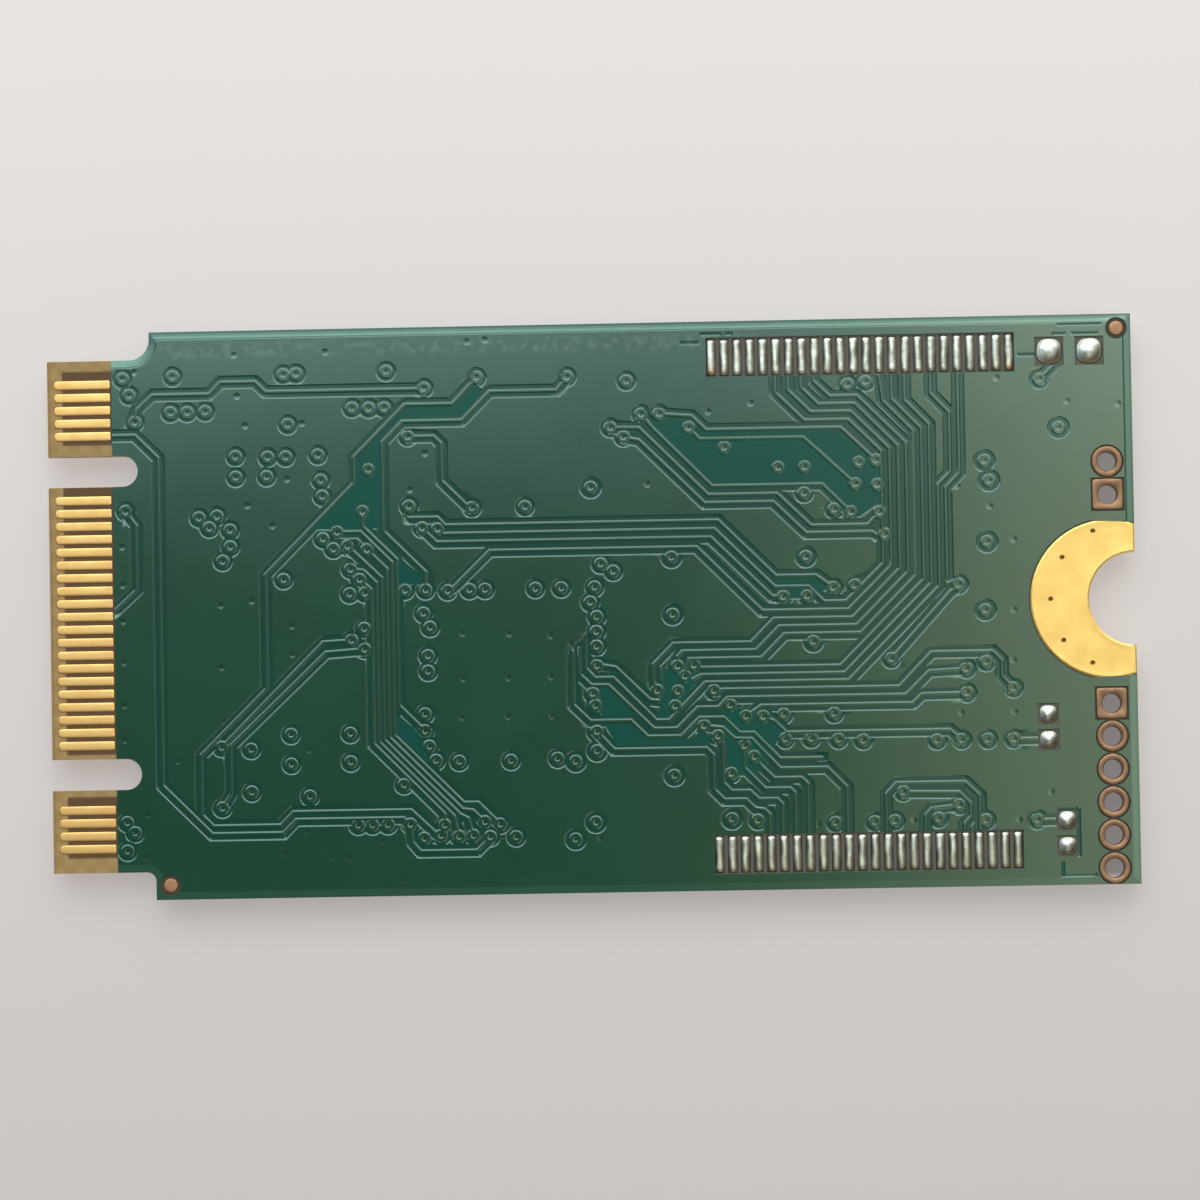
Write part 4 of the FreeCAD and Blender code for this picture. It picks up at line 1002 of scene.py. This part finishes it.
def sleeveShape(arc, low, high):
    # a thin curved wall that lines the notch
    tail = corners("screw_land")[1][0]
    away = arc - np.array((tail, 0.0))
    outer = arc + away / np.linalg.norm(away, axis=1, keepdims=True) * land["sleeve"]
    outer[:, 0] = np.minimum(outer[:, 0], tail)
    ring = np.concatenate([arc, outer[::-1]])
    return stackedRings([[(x, y, low) for x, y in ring], [(x, y, high) for x, y in ring]], False, False)


# painted shade in the drill dimples
landGold = metalFinish("landGold", landLightAndShadeLook, (2, "hole"))
landLow, landHigh = corners("screw_land")
landLoop = anticlockwise(faceLoops("screw_land", landHigh[2])[0])
landPattern = LandRelief(landLoop, onCard(land["holes"]))
for name, low, high, upward, nodes in (("landPlainSide", boardHigh[2], landHigh[2], True, ["screw_land"]),
                                       ("landChipSide", landLow[2], boardLow[2], False, [])):
    asPiece(filmPiece(name, landLoop, [], landPattern, low, high, upward, landGold), "gold", *nodes)
sleeve = sleeveShape(notchArc(landLoop), boardLow[2], boardHigh[2])
asPiece(addMesh("landSleeve", *sleeve, gold, False), "gold")
print("land done")


# header eyelets and corner marks

def eyeletShape(low, high, bore):
    middle = (low + high) / 2
    radius = (high[0] - low[0]) / 2
    squarePad = squareEyelet(low, high)
    rim, barrel = eyeletLook["rim"], bore + eyeletLook["wall"]
    turns = turnsOf(eyeletLook["ringCount"])

    def ring(reach, z, square):
        power = eyeletLook["squarePower"] if square else 2.0
        return [(middle[0] + reach * spread * math.cos(turn), middle[1] + reach * spread * math.sin(turn), z)
                for spread, turn in zip(bulge(turns, power), turns)]

    crown = eyeletLook["crown"] * rim
    half = [(bore + rim * away, rim * rise, False) for away, rise in eyeletLook["inner"]]
    half += [((barrel + radius) / 2, crown, squarePad)]
    half += [(radius - rim * away, rim * rise, squarePad) for away, rise in eyeletLook["outer"]]
    upper = [ring(reach, high[2] - crown + rise, square) for reach, rise, square in half]
    lower = [ring(reach, low[2] + crown - rise, square) for reach, rise, square in half[::-1]]
    inner = [ring(radius, boardHigh[2], squarePad), ring(barrel, boardHigh[2], False),
             ring(barrel, boardLow[2], False), ring(radius, boardLow[2], squarePad)]
    rings = upper + inner + lower
    vertices, faces = stackedRings(rings + [rings[0]], False, False)
    return vertices, [face[::-1] for face in faces]


eyeletPlaces, _ = weldedMesh("header_eyelets")
eyeletBoxes = solidsOf("header_eyelets")
firstMiddle = (eyeletBoxes[0][0] + eyeletBoxes[0][1])[:2] / 2
boreRadius = np.linalg.norm(eyeletPlaces[:, :2] - firstMiddle, axis=1).min()
shapes = [eyeletShape(low, high, boreRadius) for low, high in eyeletBoxes]
asPiece(addMesh("headerEyelets", *joinShapes(shapes), copper), "copper", "header_eyelets")


def markShape(low, high):
    middle, radius = (low + high) / 2, (high[0] - low[0]) / 2
    rings = []
    for reach, rise in markLook["profile"]:
        z = low[2] + (high[2] - low[2]) * rise
        rings.append([(x, y, z) for x, y in circle(middle[0], middle[1], radius * reach, markLook["count"])])
    return stackedRings(rings)


shapes = [markShape(low, high) for low, high in solidsOf("corner_marks")]
asPiece(addMesh("cornerMarks", *joinShapes(shapes), markCopper), "copper", "corner_marks")
print("eyelets and marks done")


# tinned pads: long ridges on the empty package site, lumps on the empty part sites

# the flux colour is partly flux residue and partly painted shade on the flanks of the ridges and lumps
tinLook = dict(tone=(0.82, 0.80, 0.73), dull=(0.47, 0.46, 0.41), fluxAndShade=(0.200, 0.168, 0.122),
               copper=(0.50, 0.25, 0.12), tan=(0.46, 0.38, 0.26), rough=(0.26, 0.40), patch=0.24, grain=0.10,
               depth=0.004, bump=0.4)
ridge = dict(stations=18, arcSteps=16, peak=1.15, spill=0.035, apex=0.16, wander=0.024, thin=0.16, low=0.74,
             speeds=(0.4, 1.5), foot=0.012, full=0.86, endShare=0.10, endLeast=0.02, endWide=0.72,
             endTall=0.25, sway=0.6, wearReach=0.35, flankShadeGain=1.35, flankShadePower=0.8, footFlux=0.9, endFlux=0.5,
             seed=7)
wornPads = {0: 0.95, 1: 0.25, 22: 0.5, 23: 0.9}     # pads of the far row whose near end shows copper
tanned = dict(far=0.30, near=0.75)     # how far each row dulls towards its near end
flankFluxAndShade = dict(far=0.76, near=1.0)      # how much flux and painted shade each row has on its flanks


def between(low, high, share):
    return low + (high - low) * share


def ridgeShape(low, high, draw, worn, row):
    # a bead of solder along a pad; its crown wanders, thins and thickens a little
    half, length, rise = (high[0] - low[0]) / 2 + ridge["spill"], high[1] - low[1], high[2] - low[2]
    middle = (low[0] + high[0]) / 2
    waves = [(draw.uniform(0, 2 * math.pi), draw.uniform(*ridge["speeds"])) for _ in range(3)]
    full = draw.uniform(ridge["full"], 1.0)
    lean = draw.uniform(-1, 1)
    rings, shades = [], []
    for k in range(ridge["stations"] + 1):
        share = k / ridge["stations"]
        sway, swell, sink = (math.sin(turn + speed * 2 * math.pi * share) for turn, speed in waves)
        end = min(share, 1 - share) / ridge["endShare"]
        cap = math.sqrt(max(1 - (1 - min(end, 1.0)) ** 2, ridge["endLeast"]))
        wide = half * (1 - ridge["thin"] * (1 + swell) / 2) * between(ridge["endWide"], 1.0, cap)
        tall = rise * (full - (1 - ridge["low"]) * (1 + sink) / 4) * between(ridge["endTall"], 1.0, cap)
        shift = ridge["wander"] * between(lean * (1 - 2 * share), sway, ridge["sway"])
        shift = max(-(half - wide), min(half - wide, shift))
        y = low[1] + length * share
        ring, shade = [], []
        for step in range(ridge["arcSteps"] + 1):
            turn = math.pi * step / ridge["arcSteps"]
            lift = max(math.sin(turn), 0.0) ** ridge["peak"]
            across = math.cos(turn) - ridge["apex"] * math.sin(turn) ** 2
            z = low[2] + ridge["foot"] + (tall - ridge["foot"]) * lift
            ring.append((middle + shift + wide * across, y, z))
            # flux with painted shade: the flanks darken as they fall away from the crown
            fluxAndShade = flankFluxAndShade[row] * min(1.0, ridge["flankShadeGain"] * (1 - lift) ** ridge["flankShadePower"])
            bared = worn * max(0.0, 1 - share / ridge["wearReach"])
            shade.append((fluxAndShade, bared, tanned[row] * (1 - share)))
        ring.extend([(middle - half, y, low[2] + ridge["foot"]), (middle - half, y, low[2]),
                     (middle + half, y, low[2]), (middle + half, y, low[2] + ridge["foot"])])
        shade.extend([(ridge["footFlux"], 0.0, 0.0)] * 4)
        rings.append(ring)
        shades.extend(shade)
    vertices, faces = stackedRings(rings)
    shades.extend([(ridge["endFlux"], worn, 0.0), (ridge["endFlux"], 0.0, 0.0)])
    return vertices, [face[::-1] for face in faces], shades


def shadedPiece(name, shapes, material):
    piece = addMesh(name, *joinShapes([shape[:2] for shape in shapes]), material)
    paintShares(piece.data, np.array([shade for shape in shapes for shade in shape[2]]))
    return piece


tinned = metalFinish("tinned", tinLook, (2, "tan"), (1, "copper"), (0, "fluxAndShade"))
draw = random.Random(ridge["seed"])
for name, node, wornEnds, row in (("farRidges", "spare_flash_pads_upper", wornPads, "far"),
                                  ("nearRidges", "spare_flash_pads_lower", {}, "near")):
    shapes = [ridgeShape(low, high, draw, wornEnds.get(k, 0.0), row)
              for k, (low, high) in enumerate(solidsOf(node))]
    asPiece(shadedPiece(name, shapes, tinned), "solder", node)

lump = dict(count=40, rings=14, squarePower=2.8, rimShare=0.94, foot=0.012, slump=1.15, uneven=0.16,
            shift=0.12, swells=(0.4, 1.0), topShare=0.6, shadeTurn=50.0, shadeFrom=0.36, shadeOver=0.3,
            rimFrom=0.62, rimFluxAndShade=0.8, footFlux=0.9)


def lumpShape(low, high, draw):
    # solder drawn up into a lump on a square pad, with flux and painted shade on its near right side and
    # round its rim
    middle, half = (low + high) / 2, (high - low)[:2] / 2
    sway = [(draw.uniform(0, 2 * math.pi), draw.uniform(*lump["swells"])) for _ in range(3)]
    shiftX, shiftY = (draw.uniform(-lump["shift"], lump["shift"]) for _ in range(2))
    rise = high[2] - low[2]
    rings, shades = [[]], []
    for level in range(lump["rings"] + 1):
        share = 1 - level / (lump["rings"] + lump["topShare"])
        power = 2 + (lump["squarePower"] - 2) * share ** 2
        ring = []
        for turn in turnsOf(lump["count"]):
            wave = sum(size * math.sin(order * turn + start) for order, (start, size) in enumerate(sway, 2))
            bend = 1 - lump["uneven"] * (1 + wave / len(sway)) / 2 * (1 - abs(2 * share - 1))
            reach = share * bulge(turn, power) * bend
            x = middle[0] + half[0] * (reach * math.cos(turn) + shiftX * (1 - share))
            y = middle[1] + half[1] * (reach * math.sin(turn) + shiftY * (1 - share))
            crown = math.cos(min(share / lump["rimShare"], 1.0) * math.pi / 2) ** lump["slump"]
            z = low[2] + lump["foot"] + (rise - lump["foot"]) * crown
            ring.append((x, y, z))
            # painted shade with flux: darker on the near right side and towards the rim
            nearRightShade = max(0.0, math.cos(turn + math.radians(lump["shadeTurn"])))
            fluxAndShade = max(0.0, min(1.0, (share - lump["shadeFrom"]) / lump["shadeOver"])) * nearRightShade
            fluxAndShade += lump["rimFluxAndShade"] * max(0.0, (share - lump["rimFrom"]) / (1 - lump["rimFrom"]))
            shades.append((min(fluxAndShade, 1.0), 0.0, 0.0))
        rings.append(ring)
    rings[0] = [(x, y, low[2]) for x, y, _ in rings[1]]
    vertices, faces = stackedRings(rings)
    foot = (lump["footFlux"], 0.0, 0.0)
    return vertices, faces, [foot] * lump["count"] + shades + [foot, (0.0, 0.0, 0.0)]


shapes = [lumpShape(low, high, draw) for low, high in solidsOf("spare_part_pads")]
asPiece(shadedPiece("partLumps", shapes, tinned), "solder", "spare_part_pads")
print("tinned pads done")


# the laminate, seen at the tongue, at the edges and between the pads

# the inner tone is partly inner copper seen through the laminate and partly painted shade and painted gold
# reflection between the fingers; the rim tone is painted shade in the gaps round the eyelets, the screw land
# and the corner marks
laminateLook = dict(tone=(0.43, 0.245, 0.079), pale=(0.50, 0.30, 0.108), inner=(0.135, 0.054, 0.007),
                    site=(0.120, 0.105, 0.080), rim=(0.050, 0.036, 0.012), pitch=0.42, depth=0.006, bump=0.4,
                    rough=(0.42, 0.60), ior=1.5, patch=0.7, cloudShare=0.35, copperAndShadeFront=0.32, copperAndShadeSide=0.35,
                    copperAndShadeTail=0.3, copperAndShadeSoft=0.05, siteMargin=0.14, siteSoft=0.02, skin=0.02, runGap=0.5)


def contactGroups(node):
    # low and high corner of each run of contacts between the notches
    boxes = sorted(solidsOf(node), key=lambda box: box[0][1])
    groups = [[boxes[0][0], boxes[0][1]]]
    for low, high in boxes[1:]:
        if low[1] - groups[-1][1][1] > laminateLook["runGap"]:
            groups.append([low, high])
        groups[-1][1] = high
    return groups


def laminateFinish():
    finish = Finish("laminate", IOR=laminateLook["ior"])
    height = finish.group(weave, Pitch=laminateLook["pitch"])["Height"]
    cloud = finish.patch(laminateLook["patch"])
    clouded = finish.swing(cloud["Mask"], 0.0, laminateLook["cloudShare"])
    tone = finish.blend(height, laminateLook["tone"], laminateLook["pale"])
    tone = finish.blend(clouded, tone, laminateLook["tone"])
    # darker tones lie on the two faces, and the cut edges have none of them
    skin = laminateLook["skin"]
    _, _, z = finish.axes(finish.millimetres())
    onFace = finish.math("MAXIMUM", finish.swing(z, 0.0, 1.0, boardHigh[2] - skin, boardHigh[2] - skin / 2),
                         finish.swing(z, 1.0, 0.0, boardLow[2] + skin / 2, boardLow[2] + skin))
    # the inner tone near the fingers: inner copper with painted shade and painted gold reflection
    side, front, tail = laminateLook["copperAndShadeSide"], laminateLook["copperAndShadeFront"], laminateLook["copperAndShadeTail"]
    tinted = [((low[0] + front, low[1] - side / 2), (high[0] + tail, high[1] + side), "inner")
              for low, high in contactGroups("plain_side_contacts")]
    margin = laminateLook["siteMargin"]
    sites = [corners("spare_flash_pads_upper"), corners("spare_flash_pads_lower")]
    sites += solidsOf("spare_part_pads")
    # painted shade in the gaps round the eyelets, the screw land and the corner marks
    rims = [corners("header_eyelets"), corners("screw_land")] + solidsOf("corner_marks")
    for boxes, look in ((sites, "site"), (rims, "rim")):
        tinted += [(low[:2] - margin, high[:2] + margin, look) for low, high in boxes]
    for low, high, look in tinted:
        soft = laminateLook["copperAndShadeSoft" if look == "inner" else "siteSoft"]
        share = finish.math("MULTIPLY", onFace, finish.zone(low, high, soft))
        tone = finish.blend(share, tone, laminateLook[look])
    return finish.surface(tone, cloud, laminateLook, height)


def dress(node, material):
    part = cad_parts[node]
    part.data.materials.clear()
    part.data.materials.append(material)


dress("circuit_board", laminateFinish())
print("laminate done")


# parts on the chip side: the frame's forms with their edges rounded

edgeForm = dict(flat=1.5, sharp=25.0, segments=3, profile=0.6, smooth=50.0)


def weightedNormals(data):
    # large faces stay flat, and only the rounded edges turn
    least = math.cos(math.radians(edgeForm["smooth"]))
    around = [[] for _ in data.vertices]
    for face in data.polygons:
        for k in face.vertices:
            around[k].append(face)
    normals = []
    for face in data.polygons:
        for k in face.vertices:
            total = Vector((0.0, 0.0, 0.0))
            for other in around[k]:
                if other.normal.dot(face.normal) > least:
                    total += other.normal * (other.area / mm ** 2)
            normals.append(total.normalized())
    data.normals_split_custom_set(normals)


def softened(name, node, slot, width, material):
    spots, triangles = weldedMesh(node)
    form = bmesh.new()
    corner = [form.verts.new(tuple(spot)) for spot in spots]
    for ring in triangles:
        if len(set(ring)) == 3:
            form.faces.new([corner[k] for k in ring])
    bmesh.ops.recalc_face_normals(form, faces=form.faces)
    flat, sharp = math.radians(edgeForm["flat"]), math.radians(edgeForm["sharp"])
    bmesh.ops.dissolve_limit(form, angle_limit=flat, verts=form.verts, edges=form.edges)
    edges = [edge for edge in form.edges if edge.is_manifold and edge.calc_face_angle() > sharp]
    bmesh.ops.bevel(form, geom=edges, offset=width, segments=edgeForm["segments"],
                    profile=edgeForm["profile"], affect="EDGES", clamp_overlap=True)
    bmesh.ops.scale(form, vec=(mm, mm, mm), verts=form.verts)
    data = bpy.data.meshes.new(name)
    form.to_mesh(data)
    form.free()
    data.polygons.foreach_set("use_smooth", [True] * len(data.polygons))
    weightedNormals(data)
    return asPiece(asObject(name, data, material), slot, node)


speckle = dict(share=0.62, sharpness=0.06)


def bodyFinish(name, look):
    # moulded or fired bodies: a grained surface with faint clouds
    finish = Finish(name, IOR=look["ior"])
    cloud, speck = finish.patch(look["patch"]), finish.patch(look["grain"], **speckle)
    tone = finish.blend(cloud["Mask"], look["tone"], look["pale"])
    tone = finish.blend(finish.swing(speck["Mask"], 0.0, look["speck"]), tone, look["fleck"])
    return finish.surface(tone, cloud, look, speck["Grain"])


bodies = dict(
    package=dict(tone=(0.016, 0.016, 0.017), pale=(0.022, 0.022, 0.024), fleck=(0.05, 0.05, 0.05), speck=0.5,
                 ior=1.55, patch=3.0, grain=0.07, rough=(0.42, 0.58), depth=0.008),
    ferrite=dict(tone=(0.036, 0.035, 0.036), pale=(0.050, 0.049, 0.050), fleck=(0.09, 0.09, 0.09), speck=0.6,
                 ior=1.6, patch=0.8, grain=0.06, rough=(0.50, 0.70), depth=0.010),
    capacitor=dict(tone=(0.24, 0.145, 0.075), pale=(0.29, 0.18, 0.10), fleck=(0.17, 0.10, 0.05), speck=0.4,
                   ior=1.6, patch=0.5, grain=0.05, rough=(0.30, 0.45), depth=0.003),
    resistor=dict(tone=(0.020, 0.020, 0.022), pale=(0.030, 0.030, 0.032), fleck=(0.06, 0.06, 0.06), speck=0.4,
                  ior=1.55, patch=0.5, grain=0.05, rough=(0.25, 0.40), depth=0.003),
    ceramic=dict(tone=(0.060, 0.052, 0.046), pale=(0.080, 0.070, 0.062), fleck=(0.12, 0.11, 0.10), speck=0.4,
                 ior=1.6, patch=0.8, grain=0.05, rough=(0.40, 0.55), depth=0.004))
finishes = {name: bodyFinish(name, look) for name, look in bodies.items()}
finishes.update(lead=leadMetal, lid=lidMetal)
chipSideParts = [
    ("flashPackage", "flash_chip_body", "package", 0.06), ("flashLeads", "flash_chip_leads", "lead", 0.02),
    ("controllerPackage", "controller_body", "package", 0.04),
    ("controllerTerminals", "controller_terminals", "lead", 0.012),
    ("crystalBase", "crystal_base", "ceramic", 0.04), ("crystalLid", "crystal_lid", "lid", 0.06),
    ("inductorCore", "inductor_core", "ferrite", 0.08),
    ("inductorTerminals", "inductor_terminals", "lead", 0.08),
    ("regulatorPackages", "regulator_bodies", "package", 0.04),
    ("regulatorLeads", "regulator_leads", "lead", 0.02),
    ("capacitorBodies", "capacitor_bodies", "capacitor", 0.05),
    ("capacitorEnds", "capacitor_ends", "lead", 0.05),
    ("resistorBodies", "resistor_bodies", "resistor", 0.03), ("resistorEnds", "resistor_ends", "lead", 0.04)]
for name, node, slot, width in chipSideParts:
    softened(name, node, slot, width, finishes[slot])
print("chip side parts done")


# floor, light and camera

studio = dict(floorSize=900.0, floorNearShaded=(0.722, 0.655, 0.642), floorFarLit=(1.03, 0.955, 0.942),
              fadeHalf=26.0, glow=0.45, lit=0.47, floorRough=0.8, underInset=0.3, underSoft=0.15,
              underFront=4.6, underGlow=0.5)


def floorFinish():
    # a pale table with a painted light gradient, a little brighter away from the viewer, and glowing from
    # within so that shadows stay faint
    finish = Finish("paleTable", Roughness=studio["floorRough"], Emission_Strength=studio["glow"])
    _, y, _ = finish.axes(finish.millimetres())
    far = finish.swing(y, 0.0, 1.0, -studio["fadeHalf"], studio["fadeHalf"])
    # painted shadow: darker under the card, except below its notches
    inset, soft = studio["underInset"], studio["underSoft"]
    low, high = boardLow[:2] + inset, boardHigh[:2] - inset
    paintedShadowUnderCard = finish.zone((low[0] + studio["underFront"], low[1]), (landLow[0], high[1]), soft)
    for start, end in ((low[1], landLow[1]), (landHigh[1], high[1])):
        paintedShadowUnderCard = finish.math("MAXIMUM", paintedShadowUnderCard,
                              finish.zone((landLow[0] - 2 * soft, start), (high[0], end), soft))
    under = finish.swing(paintedShadowUnderCard, 1.0, studio["underGlow"])
    for socket, share in (("Base Color", studio["lit"]), ("Emission Color", 1.0)):
        near, away = (tuple(part * share for part in studio[tone]) for tone in ("floorNearShaded", "floorFarLit"))
        finish.link(finish.vector("SCALE", finish.blend(far, near, away), under), finish.sockets[socket])
    return finish.material


def addFloor():
    half = studio["floorSize"] / 2
    plane = addMesh("floor", [(-half, -half, 0), (half, -half, 0), (half, half, 0), (-half, half, 0)],
                    [(0, 1, 2, 3)], floorFinish(), smooth=False)


# light by direction: dim overhead where the viewer stands, a bright strip just beyond the far edge,
# a broad window behind it, and a glow to the right
room = dict(dim=(0.06, 0.06, 0.06), low=(0.20, 0.20, 0.20), lowFrom=(1.2, 3.0),
            far=(2.30, 3.15, 3.30), farFrom=(0.045, 0.14), farFade=(0.3, 0.9), farLeft=0.2,
            farSide=(0.25, 0.6), farAlong=(-0.10, 0.04), farEnd=0.62,
            side=(0.10, 0.10, 0.10), sideFrom=(0.3, 0.9),
            window=(1.15, 1.15, 1.15), windowFrom=(0.22, 0.5), windowTo=(1.0, 1.8), windowSide=(0.6, 1.4),
            right=(1.50, 1.52, 1.12), rightFrom=(-0.015, 0.11), rightFade=(0.15, 0.28), rightLeft=0.06,
            rightNear=0.85, rightFar=1.1, rightAlong=(-0.03, 0.09), lowest=0.02)


def addRoom():
    world = bpy.data.worlds.new("room")
    world.use_nodes = True
    wiring = Wiring(world.node_tree)
    x, y, z = wiring.axes(wiring.node("TexCoord").outputs["Generated"])
    height = wiring.math("MAXIMUM", z, room["lowest"])
    leanX, leanY = (wiring.math("DIVIDE", part, height) for part in (x, y))
    squares = [wiring.math("MULTIPLY", part, part) for part in (leanX, leanY)]
    lean = wiring.math("SQRT", wiring.math("ADD", *squares))
    sideways = wiring.math("ABSOLUTE", leanX)
    # the fades that bound each light: what a fade follows, its start and end, and the span between them
    lights = dict(
        far=[(leanY, 0.0, 1.0, "farFrom"), (leanY, 1.0, room["farLeft"], "farFade"),
             (sideways, 1.0, 0.0, "farSide"), (leanX, 1.0, room["farEnd"], "farAlong")],
        window=[(leanY, 0.0, 1.0, "windowFrom"), (leanY, 1.0, 0.0, "windowTo"),
                (sideways, 1.0, 0.0, "windowSide")],
        right=[(leanX, 0.0, 1.0, "rightFrom"), (leanX, 1.0, room["rightLeft"], "rightFade"),
               (leanY, room["rightNear"], room["rightFar"], "rightAlong")],
        low=[(lean, 0.0, 1.0, "lowFrom")], side=[(sideways, 0.0, 1.0, "sideFrom")])
    total = room["dim"]
    for name, fades in lights.items():
        share = wiring.product(*(wiring.swing(*fade[:3], *room[fade[3]], True) for fade in fades))
        total = wiring.vector("ADD", wiring.vector("SCALE", room[name], share), total)
    wiring.link(total, wiring.tree.nodes["Background"].inputs["Color"])
    bpy.context.scene.world = world


# the photograph's view: nearly straight down, the card turned by a degree
view = dict(place=(5.635, -6.065, 201.735), turn=(1.797, 1.548, -0.992), lens=155.22, sensor=36.0,
            clipStart=1.0)


def addCamera():
    data = bpy.data.cameras.new("camera")
    data.lens = view["lens"]
    data.sensor_width = view["sensor"]
    data.clip_start = view["clipStart"] * mm
    camera = bpy.data.objects.new("camera", data)
    camera.location = Vector(view["place"]) * mm
    camera.rotation_euler = Euler([math.radians(angle) for angle in view["turn"]])
    bpy.context.scene.collection.objects.link(camera)
    bpy.context.scene.camera = camera


addFloor()
addRoom()
addCamera()
bpy.context.scene.view_settings.view_transform = "Standard"
print("studio done")

bpy.context.view_layer.update()
